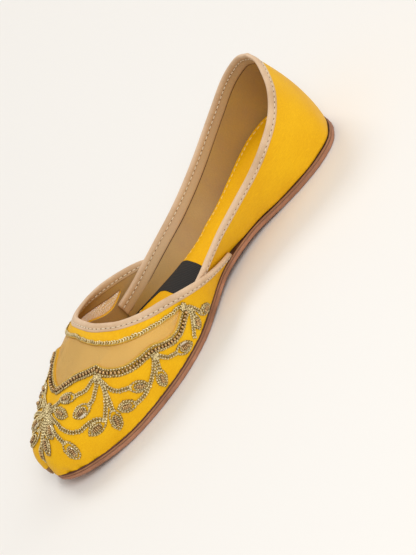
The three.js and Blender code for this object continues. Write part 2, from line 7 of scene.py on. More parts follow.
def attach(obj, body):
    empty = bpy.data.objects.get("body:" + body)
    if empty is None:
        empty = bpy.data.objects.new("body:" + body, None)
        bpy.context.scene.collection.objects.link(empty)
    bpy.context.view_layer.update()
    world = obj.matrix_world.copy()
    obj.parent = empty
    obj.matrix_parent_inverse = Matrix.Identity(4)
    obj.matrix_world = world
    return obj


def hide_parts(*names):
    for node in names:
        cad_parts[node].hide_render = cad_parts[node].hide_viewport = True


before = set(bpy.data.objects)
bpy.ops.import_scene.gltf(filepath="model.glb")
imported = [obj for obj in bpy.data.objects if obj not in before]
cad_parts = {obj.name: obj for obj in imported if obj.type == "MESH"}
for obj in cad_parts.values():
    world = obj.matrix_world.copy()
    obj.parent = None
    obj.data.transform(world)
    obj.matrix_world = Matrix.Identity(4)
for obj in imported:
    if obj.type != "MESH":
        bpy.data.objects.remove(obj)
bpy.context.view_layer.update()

# OUTSOLE. Two thin layers of tan leather glued together, cut to a waisted outline with a blunt, notched toe,
# and left with a raw edge. Sizes are in millimetres; "half" is out from the middle plane, "from_toe" back
# from the toe tip. A worn edge shows the join of the layers as a fine dark line.
ORIGIN_FROM_TOE = 125.35
SOLE_OUTLINE = {
    "half": (0, 6.5, 13.5, 21.2, 28.5, 36.8, 41.8, 42.3, 38.3, 30.5, 23, 20.6, 20.4, 24.6, 29, 30.8, 27.6,
             19.2, 10, 0),
    "from_toe": (2.6, 0.3, 1.7, 8, 20, 40, 63, 84, 103, 121, 139, 156, 172, 190, 206, 221, 234.5, 242.6,
                 246.8, 248),
}
SOLE_THICKNESS = {"from_toe": (0, 110, 155, 205, 248), "thick": (4, 4, 3.8, 4.2, 4.2)}
SOLE_EDGE = {
    "share": (0, 0.03, 0.1, 0.2, 0.35, 0.52, 0.59, 0.63, 0.67, 0.72, 0.82, 0.93, 0.98, 1),
    "inset": (0.75, 0.3, 0.05, 0, 0.02, 0, 0.1, 0.42, 0.42, 0.12, 0.06, 0.1, 0.22, 0.5),
}
TOE_SPRING = {"rise": 7.0, "end": 50.0}
ARCH = {"rise": 3.5, "start": 100.0, "end": 203.0}
NOTCH = {"rise": 2.0, "spread": 4.0, "reach": 12.0}
SOLE_TAN = (0.40, 0.175, 0.075)
SOLE_PINK = (0.47, 0.205, 0.11)
SOLE_DARK = (0.055, 0.018, 0.006)


def column(table, key, value, at):
    """The smooth curve through one column of a table, read at places on another column."""
    x, y = np.array(table[key], float), np.array(table[value], float)
    slope = np.diff(y) / np.diff(x)
    between = (slope[:-1] + slope[1:]) / 2
    start, end = np.r_[slope[0], between], np.r_[between, slope[-1]]
    i = np.clip(np.searchsorted(x, at, side="right") - 1, 0, len(slope) - 1)
    span = x[i + 1] - x[i]
    t = np.clip((at - x[i]) / span, 0, 1)
    rise = (2 * t**3 - 3 * t**2 + 1) * y[i] + (3 * t**2 - 2 * t**3) * y[i + 1]
    return rise + span * ((t**3 - 2 * t**2 + t) * start[i] + (t**3 - t**2) * end[i])


def ease(low, high, at):
    t = np.clip((at - low) / (high - low), 0, 1)
    return t * t * (3 - 2 * t)


def mix(a, b, share):
    return a + (b - a) * share


def closed_curve(points, steps=220):
    """A smooth closed line through the points, whose bends stay even where the points lie unevenly."""
    made = []
    count = len(points)
    for i in range(count):
        p = [points[(i + k) % count] for k in (-1, 0, 1, 2)]
        gap = [max(np.linalg.norm(p[k + 1] - p[k]) ** 0.5, 1e-4) for k in range(3)]
        one = (p[1] - p[0]) / gap[0] - (p[2] - p[0]) / (gap[0] + gap[1]) + (p[2] - p[1]) / gap[1]
        two = (p[2] - p[1]) / gap[1] - (p[3] - p[1]) / (gap[1] + gap[2]) + (p[3] - p[2]) / gap[2]
        one, two = one * gap[1], two * gap[1]
        t = np.linspace(0, 1, steps, endpoint=False)[:, None]
        made.append(p[1] + one * t + (3 * (p[2] - p[1]) - 2 * one - two) * t**2
                    + (2 * (p[1] - p[2]) + one + two) * t**3)
    return np.vstack(made)


outline_side = np.column_stack([SOLE_OUTLINE["half"], SOLE_OUTLINE["from_toe"]]).astype(float)
outline_line = closed_curve(np.vstack([outline_side, outline_side[-2:0:-1] * (-1, 1)]))
outline_line = np.vstack([outline_line, outline_line[:1]])
outline_run = np.r_[0, np.cumsum(np.linalg.norm(np.diff(outline_line, axis=0), axis=1))]
outline_share = outline_run / (outline_run[-1] / 2)


def plan(share, inset):
    """Place on the sole's edge by its share from toe (0) to heel (1), moved in by an inset."""
    share = np.clip(share, 0, 1)
    at = [np.interp(share, outline_share, outline_line[:, k]) for k in (0, 1)]
    step = 0.0015
    way = [np.interp(share + step, outline_share, outline_line[:, k])
           - np.interp(share - step, outline_share, outline_line[:, k]) for k in (0, 1)]
    way[0] = np.where(share < step, 1.0, way[0])
    way[1] = np.where(share < step, 0.0, way[1])
    size = np.hypot(*way)
    return np.maximum(0, at[0] - way[1] / size * inset), at[1] + way[0] / size * inset


rising_line = (outline_share > 0.04) & (outline_share <= 1)


def share_at(from_toe):
    return float(np.interp(from_toe, outline_line[rising_line, 1], outline_share[rising_line]))


def ground(half, from_toe):
    spring = TOE_SPRING["rise"] * np.clip(1 - from_toe / TOE_SPRING["end"], 0, None) ** 2
    turn = np.clip((from_toe - ARCH["start"]) / (ARCH["end"] - ARCH["start"]), 0, 1)
    notch = NOTCH["rise"] * np.exp(-((half / NOTCH["spread"]) ** 2))
    return (spring + ARCH["rise"] * np.sin(np.pi * turn) ** 2
            + notch * np.clip(1 - from_toe / NOTCH["reach"], 0, None))


def sole_top(half, from_toe):
    return ground(half, from_toe) + column(SOLE_THICKNESS, "from_toe", "thick", from_toe)


def place(half, from_toe, height):
    return np.stack(np.broadcast_arrays(half, from_toe - ORIGIN_FROM_TOE, height), axis=-1)


def paint(piece, name, values):
    """Keeps a number at each vertex, which the piece's material reads."""
    made = piece.data.attributes.new(name, "FLOAT", "POINT")
    made.data.foreach_set("value", np.asarray(values, np.float32))


def wrapped_grid(name, columns, rows, lay, closed=False):
    """A grid primitive laid on a curved face: lay(u, v) gives each vertex's place in millimetres."""
    bpy.ops.object.select_all(action="DESELECT")
    bpy.ops.mesh.primitive_grid_add(x_subdivisions=columns, y_subdivisions=rows, size=1)
    piece = bpy.context.object
    piece.name = piece.data.name = name
    flat = np.empty(len(piece.data.vertices) * 3)
    piece.data.vertices.foreach_get("co", flat)
    u, v = np.clip(flat.reshape(-1, 3)[:, :2].T + 0.5, 0, 1)
    piece.data.vertices.foreach_set("co", (lay(u, v) * 0.001).astype(np.float32).ravel())
    piece.data.update()
    paint(piece, "around", u)
    paint(piece, "across", v)
    if closed:
        bpy.ops.object.mode_set(mode="EDIT")
        bpy.ops.mesh.select_all(action="SELECT")
        bpy.ops.mesh.remove_doubles(threshold=0.00001)
        bpy.ops.mesh.fill_holes(sides=0)
        bpy.ops.mesh.select_all(action="SELECT")
        bpy.ops.mesh.normals_make_consistent(inside=False)
        bpy.ops.object.mode_set(mode="OBJECT")
    bpy.ops.object.shade_smooth()
    return piece


def points_of(piece):
    flat = np.empty(len(piece.data.vertices) * 3)
    piece.data.vertices.foreach_get("co", flat)
    return flat.reshape(-1, 3) * 1000


def node(tree, kind, **settings):
    made = tree.nodes.new(kind)
    for key, value in settings.items():
        if key in made.inputs:
            made.inputs[key].default_value = value
        else:
            setattr(made, key, value)
    return made


def map_range(tree, from_low, from_high, to_low=0.0, to_high=1.0):
    limits = {"From Min": from_low, "From Max": from_high, "To Min": to_low, "To Max": to_high}
    return node(tree, "ShaderNodeMapRange", **limits)


def join(tree, *pairs):
    for source, target in pairs:
        tree.links.new(source, target)


def new_group(name, inputs, outputs):
    """An empty shader node group with named sockets, and its input and output nodes."""
    group = bpy.data.node_groups.new(name, "ShaderNodeTree")
    for in_out, sockets in (("INPUT", inputs), ("OUTPUT", outputs)):
        for label, kind in sockets:
            group.interface.new_socket(label, in_out=in_out, socket_type="NodeSocket" + kind)
    return group, group.nodes.new("NodeGroupInput"), group.nodes.new("NodeGroupOutput")


def new_material(name, roughness, metallic=0.0, **fixed):
    """A material with its surface shader, and what its pattern starts from."""
    made = bpy.data.materials.new(name)
    made.use_nodes = True
    tree = made.node_tree
    shader = tree.nodes["Principled BSDF"]
    shader.inputs["Roughness"].default_value = roughness
    shader.inputs["Metallic"].default_value = metallic
    for key, value in fixed.items():
        shader.inputs[key.replace("_", " ")].default_value = value
    coordinates = tree.nodes.new("ShaderNodeTexCoord")
    return made, tree, shader, coordinates.outputs["Object"]


def colour(*rgb):
    return (*rgb, 1.0)


# Leather's fine pebbled grain with slow stains, shared by the sole, the lining and the bindings.
leather_grain, grain_in, grain_out = new_group(
    "leather_grain",
    (("Vector", "Vector"), ("Colour", "Color"), ("Stain", "Color"), ("Grain size", "Float")),
    (("Colour", "Color"), ("Roughness", "Float"), ("Height", "Float")),
)
pebble = node(leather_grain, "ShaderNodeTexVoronoi", Randomness=1.0)
cloud = node(leather_grain, "ShaderNodeTexNoise", Scale=45.0, Detail=5.0, Roughness=0.6)
fine = node(leather_grain, "ShaderNodeTexNoise", Scale=1400.0, Detail=3.0)
stain = node(leather_grain, "ShaderNodeMix", data_type="RGBA")
speckle = node(leather_grain, "ShaderNodeMix", data_type="RGBA", blend_type="MULTIPLY")
speckle.inputs["Factor"].default_value = 0.16
patch = map_range(leather_grain, 0.42, 0.72)
rough = map_range(leather_grain, 0.0, 1.0, 0.45, 0.68)
tall = node(leather_grain, "ShaderNodeMath", operation="MULTIPLY_ADD")
tall.inputs[1].default_value = 0.5
join(
    leather_grain,
    (grain_in.outputs["Vector"], pebble.inputs["Vector"]),
    (grain_in.outputs["Vector"], cloud.inputs["Vector"]),
    (grain_in.outputs["Vector"], fine.inputs["Vector"]),
    (grain_in.outputs["Grain size"], pebble.inputs["Scale"]),
    (cloud.outputs["Fac"], patch.inputs["Value"]), (patch.outputs["Result"], stain.inputs["Factor"]),
    (grain_in.outputs["Colour"], stain.inputs[6]), (grain_in.outputs["Stain"], stain.inputs[7]),
    (stain.outputs[2], speckle.inputs[6]), (fine.outputs["Fac"], speckle.inputs[7]),
    (speckle.outputs[2], grain_out.inputs["Colour"]), (cloud.outputs["Fac"], rough.inputs["Value"]),
    (rough.outputs["Result"], grain_out.inputs["Roughness"]), (pebble.outputs["Distance"], tall.inputs[0]),
    (fine.outputs["Fac"], tall.inputs[2]), (tall.outputs["Value"], grain_out.inputs["Height"]),
)


def leather_material(name, tone, stained, grain_size, bump, **fixed):
    """Leather with grain, stains and a bump from the grain."""
    made, tree, shader, vector = new_material(name, 0.55, **fixed)
    grain = node(tree, "ShaderNodeGroup", node_tree=leather_grain)
    grain.inputs["Colour"].default_value = colour(*tone)
    grain.inputs["Stain"].default_value = colour(*stained)
    grain.inputs["Grain size"].default_value = grain_size
    lift = node(tree, "ShaderNodeBump", Strength=bump, Distance=0.0002)
    join(tree, (vector, grain.inputs["Vector"]), (grain.outputs["Colour"], shader.inputs["Base Color"]),
         (grain.outputs["Roughness"], shader.inputs["Roughness"]),
         (grain.outputs["Height"], lift.inputs["Height"]),
         (lift.outputs["Normal"], shader.inputs["Normal"]))
    return made, tree, shader, grain


sole_levels = np.array(SOLE_EDGE["share"])
sole_insets = np.array(SOLE_EDGE["inset"])
sole_inner = np.array((0, 0.25, 0.5, 0.72, 0.88, 0.97))
sole_rows = 2 * len(sole_inner) + len(sole_levels)


def sole_profile(v):
    """For each row of the sole: share in from the edge, share of the thickness, and inset."""
    row = np.rint(v * (sole_rows - 1)).astype(int)
    count = len(sole_inner)
    edge = np.clip(row - count, 0, len(sole_levels) - 1)
    under, over = row < count, row >= count + len(sole_levels)
    inner = np.where(under, sole_inner[np.clip(row, 0, count - 1)], 1.0)
    inner = np.where(over, sole_inner[np.clip(sole_rows - 1 - row, 0, count - 1)], inner)
    share = np.where(under, 0.0, np.where(over, 1.0, sole_levels[edge]))
    inset = np.where(under | over, np.where(under, sole_insets[0], sole_insets[-1]), sole_insets[edge])
    return inner, share, inset


def lay_sole(u, v):
    turn = u * 2
    side = np.where(turn > 1, -1.0, 1.0)
    inner, share, inset = sole_profile(v)
    wander = 0.07 * np.sin(u * 613 + share * 9) + 0.05 * np.sin(u * 1471 + 2.1)
    half, from_toe = plan(np.minimum(turn, 2 - turn), inset + wander * (inner == 1))
    spine = np.clip(from_toe, 14.0, 236.0)
    half, from_toe = half * inner, mix(spine, from_toe, inner)
    height = mix(ground(half, from_toe), sole_top(half, from_toe), share)
    return place(side * half, from_toe, height)


outsole = wrapped_grid("outsole_leather", 420, sole_rows - 1, lay_sole, closed=True)
sole_points = points_of(outsole)
sole_low = ground(np.abs(sole_points[:, 0]), sole_points[:, 1] + ORIGIN_FROM_TOE)
sole_thick = column(SOLE_THICKNESS, "from_toe", "thick", sole_points[:, 1] + ORIGIN_FROM_TOE)
paint(outsole, "layer", (sole_points[:, 2] - sole_low) / sole_thick)
sole_leather, sole_tree, _, sole_grain = leather_material(
    "sole_leather", SOLE_TAN, (0.25, 0.1, 0.045), 900.0, 0.5)
layer = node(sole_tree, "ShaderNodeAttribute", attribute_name="layer")
layers = node(sole_tree, "ShaderNodeValToRGB")
layers.color_ramp.elements[0].color = colour(*SOLE_PINK)
layers.color_ramp.elements[1].color = colour(*SOLE_DARK)
for at, tone in ((0.5, SOLE_PINK), (0.6, (0.3, 0.12, 0.06)), (0.655, (0.16, 0.06, 0.025)), (0.72, SOLE_TAN),
                 (0.93, SOLE_TAN)):
    layers.color_ramp.elements.new(at).color = colour(*tone)
fibre = node(sole_tree, "ShaderNodeTexNoise", Scale=1.0, Detail=4.0)
stretch = node(sole_tree, "ShaderNodeMapping", Scale=(130.0, 130.0, 1500.0))
streak = node(sole_tree, "ShaderNodeMix", data_type="RGBA", blend_type="OVERLAY")
streak.inputs["Factor"].default_value = 0.45
join(sole_tree, (layer.outputs["Fac"], layers.inputs["Fac"]),
     (sole_tree.nodes["Texture Coordinate"].outputs["Object"], stretch.inputs["Vector"]),
     (stretch.outputs["Vector"], fibre.inputs["Vector"]), (layers.outputs["Color"], streak.inputs[6]),
     (fibre.outputs["Fac"], streak.inputs[7]), (streak.outputs[2], sole_grain.inputs["Colour"]))
outsole.data.materials.append(sole_leather)
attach(outsole, "root")
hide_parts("outsole")

# VAMP. Raw silk over a stiff leather lining, lasted over the toes as two low lobes with a pinched seam
# between them and glued down to the sole. A scalloped window in it holds the net. "round" runs from the toe
# middle (0) to the wing tips (1 and -1), "up" from the sole (0) to the top line (1).
LEDGE = 0.7
CLEARANCE = 0.3
VAMP_WALL = 1.6
WING_TIP = 151.0
DOME_POWER = 3.7
LEAN_POWER = 0.8
VAMP_SECTIONS = {
    "foot": (0, 8, 20, 34, 61, 80, 98, 112, 125, 137.5, 145.5, 151),
    "half": (0, 9.5, 13.8, 18, 26, 32.3, 36, 38, 37.6, 32.6, 27.2, 24),
    "from_toe": (75.4, 75.8, 76.9, 78.8, 84.5, 93, 103.2, 114, 125, 135.5, 144.5, 150.5),
    "height": (47.8, 47.5, 46.8, 45.6, 42.3, 38.8, 34.9, 29.6, 23.8, 17.6, 13, 10.8),
    "dome": (0.46, 0.5, 0.53, 0.62, 0.7, 0.72, 0.72, 0.7, 0.7, 0.7, 0.7, 0.7),
    "lean": (0, 0, 0, 0, 0.02, 0.15, 0.5, 0.9, 1, 1, 1, 1),
}
WINDOW = {
    "round": (0, 0.06, 0.13, 0.2, 0.26, 0.3, 0.33, 0.36, 0.405, 0.45, 0.5, 0.546, 0.575, 0.605, 0.632, 0.66,
              0.685, 0.705, 0.718),
    "low": (0.695, 0.733, 0.758, 0.755, 0.743, 0.728, 0.69, 0.655, 0.605, 0.557, 0.528, 0.519, 0.5, 0.448,
            0.415, 0.418, 0.468, 0.535, 0.59),
    "high": (0.912, 0.91, 0.9, 0.882, 0.86, 0.843, 0.828, 0.81, 0.78, 0.748, 0.705, 0.672, 0.652, 0.632,
             0.615, 0.602, 0.6, 0.615, 0.625),
}
WINDOW_END = 0.718
SILK_BELOW_TOP = 1.2
# Millimetres to one share round and to one share up, near enough to size the creases.
CREASE_ROUND, CREASE_UP = 165, 62
# Soft troughs (below zero) and ridges of the lasted silk: where each starts and ends, its width and depth.
VAMP_CREASES = (
    {"round": (0.0, 0.0), "up": (0.0, 0.2), "wide": 2.4, "deep": -1.3},
    {"round": (0.05, 0.052), "up": (0.03, 0.13), "wide": 5.0, "deep": 0.8},
    {"round": (0.105, 0.1), "up": (0.0, 0.13), "wide": 1.8, "deep": -0.85},
    {"round": (0.02, 0.028), "up": (0.0, 0.14), "wide": 1.3, "deep": -0.65},
    {"round": (0.15, 0.14), "up": (0.0, 0.1), "wide": 2.0, "deep": -0.6},
    {"round": (0.2, 0.19), "up": (0.0, 0.08), "wide": 2.2, "deep": -0.5},
    {"round": (0.29, 0.3), "up": (0.0, 0.16), "wide": 3.5, "deep": -0.35},
    {"round": (0.5, 0.47), "up": (0.0, 0.2), "wide": 4.0, "deep": -0.35},
    {"round": (0.62, 0.58), "up": (0.02, 0.25), "wide": 3.0, "deep": -0.35},
    {"round": (0.75, 0.7), "up": (0.0, 0.25), "wide": 3.0, "deep": -0.3},
)
SILK_GOLD = (0.93, 0.55, 0.012)
SILK_DEEP = (0.74, 0.36, 0.005)
LINING_TAN = (0.455, 0.26, 0.066)

wing_share = share_at(WING_TIP)
vamp_table = dict(VAMP_SECTIONS, round=[share_at(foot) / wing_share for foot in VAMP_SECTIONS["foot"]])
vamp_table["round"][0] = 0.0


def vamp_face(round_, up):
    at = np.abs(round_)
    half, from_toe = plan(at * wing_share, LEDGE)
    low = sole_top(half, from_toe) + CLEARANCE
    lean = column(vamp_table, "round", "lean", at)
    dome = column(vamp_table, "round", "dome", at)
    angle = up * np.pi / 2
    reach = (np.abs(np.cos(angle)) ** DOME_POWER + np.abs(np.sin(angle)) ** DOME_POWER) ** (-1 / DOME_POWER)
    inward = 1 - reach * np.cos(angle)
    risen = dome * reach * np.sin(angle) + (1 - dome) * inward
    across = mix(inward, np.sign(up) * np.abs(up) ** LEAN_POWER, lean)
    rise = mix(risen, up, lean)
    return place(
        np.sign(round_) * mix(half, column(vamp_table, "round", "half", at), across),
        mix(from_toe, column(vamp_table, "round", "from_toe", at), across),
        mix(low, column(vamp_table, "round", "height", at), rise),
    )


def unit(vectors):
    return vectors / np.linalg.norm(vectors, axis=-1, keepdims=True)


def face_normal(face, round_, up):
    step = 0.004
    up_low = np.maximum(up, 0.0005)
    along_up = face(round_, up + step) - face(round_, np.maximum(up - step, 0.0005))
    along_round = face(round_ + step, up_low) - face(round_ - step, up_low)
    return unit(np.cross(along_round, along_up))


def lifted(face, round_, up, out):
    """Place on a face pushed out along its own normal."""
    out = np.broadcast_to(np.asarray(out, float), np.shape(round_))
    return face(round_, up) + face_normal(face, round_, up) * out[..., None]


def up_below_top(face, round_, distance):
    """Share up a section that lies a given distance below its top line."""
    steps = 60
    levels = np.linspace(1, 0, steps + 1)
    line = np.stack([face(round_, np.full_like(round_, level)) for level in levels])
    gone = np.concatenate([np.zeros((1, len(round_))),
                           np.cumsum(np.linalg.norm(np.diff(line, axis=0), axis=-1), axis=0)])
    distance = np.broadcast_to(np.asarray(distance, float), np.shape(round_))
    return np.array([np.interp(distance[k], gone[:, k], levels) for k in range(len(round_))])


def creased(round_, up):
    """Depth of the silk's soft creases at a place on the vamp, the same on both sides."""
    x, y = np.abs(round_) * CREASE_ROUND, up * CREASE_UP
    depth = np.zeros_like(x)
    for row in VAMP_CREASES:
        ax, bx = (value * CREASE_ROUND for value in row["round"])
        ay, by = (value * CREASE_UP for value in row["up"])
        size = (bx - ax) ** 2 + (by - ay) ** 2
        t = np.clip(((x - ax) * (bx - ax) + (y - ay) * (by - ay)) / size, 0, 1)
        gap = np.hypot(x - mix(ax, bx, t), y - mix(ay, by, t))
        depth += row["deep"] * np.exp(-((gap / row["wide"]) ** 2)) * (1 - 0.6 * t)
    return depth


def window_edge(edge, round_):
    return column(WINDOW, "round", edge, np.minimum(np.abs(round_), WINDOW_END))


VAMP_COLUMNS = 360
VAMP_ROWS = (34, 10, 14)
WINDOW_COLUMN = 130


def vamp_round(u):
    """Columns of the vamp, set so that one falls on each end of the window."""
    column_at = np.abs(u * 2 - 1) * VAMP_COLUMNS / 2
    knots = (0, WINDOW_COLUMN, VAMP_COLUMNS / 2)
    return np.sign(u - 0.5) * np.interp(column_at, knots, (0, WINDOW_END, 0.985))


def lay_vamp(u, v):
    round_ = vamp_round(u)
    row = v * sum(VAMP_ROWS)
    below, across = VAMP_ROWS[0], VAMP_ROWS[0] + VAMP_ROWS[1]
    low, high = window_edge("low", round_), window_edge("high", round_)
    top = up_below_top(vamp_face, round_, SILK_BELOW_TOP)
    up = np.where(row <= below, low * (row / below) ** 1.15, mix(low, high, (row - below) / VAMP_ROWS[1]))
    up = np.where(row > across, mix(high, top, (row - across) / VAMP_ROWS[2]), up)
    return lifted(vamp_face, round_, up, creased(round_, up))


vamp = wrapped_grid("vamp_silk", VAMP_COLUMNS, sum(VAMP_ROWS), lay_vamp)
corners = np.empty(len(vamp.data.loops), np.int32)
vamp.data.loops.foreach_get("vertex_index", corners)
laid = []
for name in ("around", "across"):
    at_vertex = np.empty(len(vamp.data.vertices), np.float32)
    vamp.data.attributes[name].data.foreach_get("value", at_vertex)
    laid.append(at_vertex[corners].reshape(-1, 4).mean(axis=1))
cell_row = laid[1] * sum(VAMP_ROWS)
in_window = ((np.abs(laid[0] * 2 - 1) * VAMP_COLUMNS / 2 < WINDOW_COLUMN)
             & (cell_row > VAMP_ROWS[0]) & (cell_row < VAMP_ROWS[0] + VAMP_ROWS[1]))
bpy.context.tool_settings.mesh_select_mode = (False, False, True)
bpy.ops.object.mode_set(mode="EDIT")
bpy.ops.mesh.select_all(action="DESELECT")
bpy.ops.object.mode_set(mode="OBJECT")
vamp.data.polygons.foreach_set("select", in_window)
bpy.ops.object.mode_set(mode="EDIT")
bpy.ops.mesh.delete(type="FACE")
bpy.ops.object.mode_set(mode="OBJECT")
bpy.context.tool_settings.mesh_select_mode = (True, False, False)


def apply_wall(piece, wall, cut_edge=2):
    """Gives a laid face its wall, with the lining on its inner side and a bare edge all round."""
    solid = piece.modifiers.new("wall", "SOLIDIFY")
    solid.thickness = wall * 0.001
    solid.offset = -1
    solid.use_rim = True
    solid.material_offset = 1
    solid.material_offset_rim = cut_edge
    bpy.ops.object.select_all(action="DESELECT")
    bpy.context.view_layer.objects.active = piece
    piece.select_set(True)
    bpy.ops.object.modifier_apply(modifier=solid.name)


def faces_out(piece, inside):
    """Turns an open face so that it looks away from a point inside the shoe."""
    poly = piece.data.polygons
    centre, normal = np.empty(len(poly) * 3), np.empty(len(poly) * 3)
    poly.foreach_get("center", centre)
    poly.foreach_get("normal", normal)
    away = centre.reshape(-1, 3) - np.array(inside) * 0.001
    if np.sum(away * normal.reshape(-1, 3)) < 0:
        piece.data.flip_normals()


# Raw silk: crossed threads of slightly uneven thickness that catch the light, and a slow change of shade.
silk_weave, weave_in, weave_out = new_group(
    "silk_weave",
    (("Vector", "Vector"), ("Colour", "Color"), ("Shade", "Color"), ("Slub", "Float")),
    (("Colour", "Color"), ("Roughness", "Float"), ("Height", "Float")),
)
threads = []
for scale in ((260.0, 2600.0, 2600.0), (2300.0, 300.0, 2300.0)):
    turn_to = node(silk_weave, "ShaderNodeMapping", Scale=scale)
    thread = node(silk_weave, "ShaderNodeTexNoise", Scale=1.0, Detail=2.0, Roughness=0.5)
    silk_weave.links.new(weave_in.outputs["Vector"], turn_to.inputs["Vector"])
    silk_weave.links.new(turn_to.outputs["Vector"], thread.inputs["Vector"])
    threads.append(thread)
crossed = node(silk_weave, "ShaderNodeMath", operation="MAXIMUM")
slow = node(silk_weave, "ShaderNodeTexNoise", Scale=38.0, Detail=3.0)
blended = node(silk_weave, "ShaderNodeMath", operation="MULTIPLY_ADD")
spread = map_range(silk_weave, 0.62, 1.25)
shade = node(silk_weave, "ShaderNodeMix", data_type="RGBA")
gloss = map_range(silk_weave, 0.0, 1.0, 0.4, 0.62)
join(
    silk_weave,
    (threads[0].outputs["Fac"], crossed.inputs[0]), (threads[1].outputs["Fac"], crossed.inputs[1]),
    (weave_in.outputs["Vector"], slow.inputs["Vector"]), (slow.outputs["Fac"], blended.inputs[0]),
    (weave_in.outputs["Slub"], blended.inputs[1]), (crossed.outputs["Value"], blended.inputs[2]),
    (blended.outputs["Value"], spread.inputs["Value"]), (spread.outputs["Result"], shade.inputs["Factor"]),
    (weave_in.outputs["Shade"], shade.inputs[6]), (weave_in.outputs["Colour"], shade.inputs[7]),
    (shade.outputs[2], weave_out.inputs["Colour"]), (crossed.outputs["Value"], gloss.inputs["Value"]),
    (gloss.outputs["Result"], weave_out.inputs["Roughness"]),
    (crossed.outputs["Value"], weave_out.inputs["Height"]),
)


def silk_material(name, tone, deep, bump, ior=1.24):
    made, tree, shader, vector = new_material(
        name, 0.5, IOR=ior, Specular_IOR_Level=0.9, Specular_Tint=colour(1.0, 0.72, 0.3))
    weave = node(tree, "ShaderNodeGroup", node_tree=silk_weave)
    weave.inputs["Colour"].default_value = colour(*tone)
    weave.inputs["Shade"].default_value = colour(*deep)
    weave.inputs["Slub"].default_value = 0.6
    lift = node(tree, "ShaderNodeBump", Strength=bump, Distance=0.0002)
    join(tree, (vector, weave.inputs["Vector"]), (weave.outputs["Colour"], shader.inputs["Base Color"]),
         (weave.outputs["Roughness"], shader.inputs["Roughness"]),
         (weave.outputs["Height"], lift.inputs["Height"]),
         (lift.outputs["Normal"], shader.inputs["Normal"]))
    return made


silk = silk_material("silk", SILK_GOLD, SILK_DEEP, 0.5)
lining = leather_material("lining_leather", LINING_TAN, (0.4, 0.22, 0.08), 700.0, 0.3)[0]
cut_leather = leather_material("cut_leather", (0.42, 0.22, 0.08), (0.3, 0.15, 0.05), 1200.0, 0.5)[0]
faces_out(vamp, (0, -60, 12))
for finish in (silk, lining, silk):
    vamp.data.materials.append(finish)
apply_wall(vamp, VAMP_WALL)
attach(vamp, "root")
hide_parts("vamp")

# The silk's raw edge is tucked in above the sole; a thin cord along the join stands for it, coloured dark as
# painted shade of the gap, an uneven dark line round the toe and sides.
def lay_tuck(u, v):
    round_ = (u * 2 - 1) * 0.97
    thick = 0.3 + 0.16 * np.sin(u * 411) * np.sin(u * 173 + 1) + 0.22 * np.exp(-((round_ / 0.2) ** 2))
    turn = v * 2 * np.pi
    foot = vamp_face(round_, np.zeros_like(u))
    out = face_normal(vamp_face, round_, np.full_like(u, 0.02))
    out[:, 2] = 0
    sideways, upward = 0.1 + thick * np.cos(turn), 0.05 + thick * np.sin(turn)
    return foot + unit(out) * sideways[:, None] + np.array([0, 0, 1]) * upward[:, None]


tuck = wrapped_grid("tucked_edge_gap_shade", 700, 8, lay_tuck, closed=True)
tuck_gap_shade = leather_material("tucked_edge_gap_shade", (0.13, 0.035, 0.012), (0.05, 0.014, 0.005), 1500.0, 0.5)[0]
tuck.data.materials.append(tuck_gap_shade)
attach(tuck, "root")

# QUARTER. The heel wall is one strip of the same silk and lining, wrapped round the heel seat. Its two front
# ends are cut square and run free inside the vamp's wings.
QUARTER_WALL = 1.6
QUARTER_INSIDE_VAMP = 2.8
INSIDE_VAMP_END = WING_TIP + 14
BED_CLEARANCE = 0.6
HEEL_BULGE = {"out": 3.8, "low": 0.8, "start": 205.0, "full": 245.0}
QUARTER_SECTIONS = {
    "foot": (99.5, 112, 127, 142, 157, 173, 190, 206, 221, 234.5, 243.3, 247.3, 248),
    "half": (34, 33.7, 33.8, 32.6, 31.6, 32.6, 34.4, 34.9, 33.4, 28, 19.4, 9.8, 0),
    "from_toe": (99, 111.5, 127, 142, 156, 173, 190, 205, 219.5, 231.5, 239.4, 244.6, 246.3),
    "height": (20, 21, 22.8, 25.4, 28, 31, 34.6, 39, 44.4, 51, 56.4, 60, 61),
}
quarter_table = dict(QUARTER_SECTIONS, round=[share_at(foot) for foot in QUARTER_SECTIONS["foot"]])
quarter_table["round"][-1] = 1.0


def quarter_face(round_, up):
    """round_ runs from the front end at +X (-1) past the middle of the heel (0) to the other end (1)."""
    at = mix(1, quarter_table["round"][0], np.abs(round_))
    bare = plan(at, 0)[1]
    half, from_toe = plan(at, LEDGE + QUARTER_INSIDE_VAMP * (1 - ease(WING_TIP, INSIDE_VAMP_END, bare)))
    low = sole_top(half, from_toe) + BED_CLEARANCE
    across = np.sign(up) * np.abs(up) ** LEAN_POWER
    bulge = HEEL_BULGE["out"] * ease(HEEL_BULGE["start"], HEEL_BULGE["full"], bare)
    bulge = bulge * np.sin(np.pi * np.clip(np.abs(up), 0, 1) ** HEEL_BULGE["low"])
    return place(
        -np.sign(round_) * mix(half, column(quarter_table, "round", "half", at), across),
        mix(from_toe, column(quarter_table, "round", "from_toe", at), across) + bulge,
        mix(low, column(quarter_table, "round", "height", at), up),
    )


def lay_quarter(u, v):
    round_ = u * 2 - 1
    up = v * up_below_top(quarter_face, round_, SILK_BELOW_TOP)
    pucker = 0.12 * np.sin(u * 97) * np.exp(-((up / 0.25) ** 2))
    slack = 0.25 * np.sin(u * 23 + up * 3) * np.sin(np.pi * up)
    return lifted(quarter_face, round_, up, pucker + slack)


quarter = wrapped_grid("quarter_silk", 300, 36, lay_quarter)
faces_out(quarter, (0, 50, 15))
for finish in (silk, lining, cut_leather):
    quarter.data.materials.append(finish)
apply_wall(quarter, QUARTER_WALL)
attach(quarter, "root")
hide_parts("quarter")

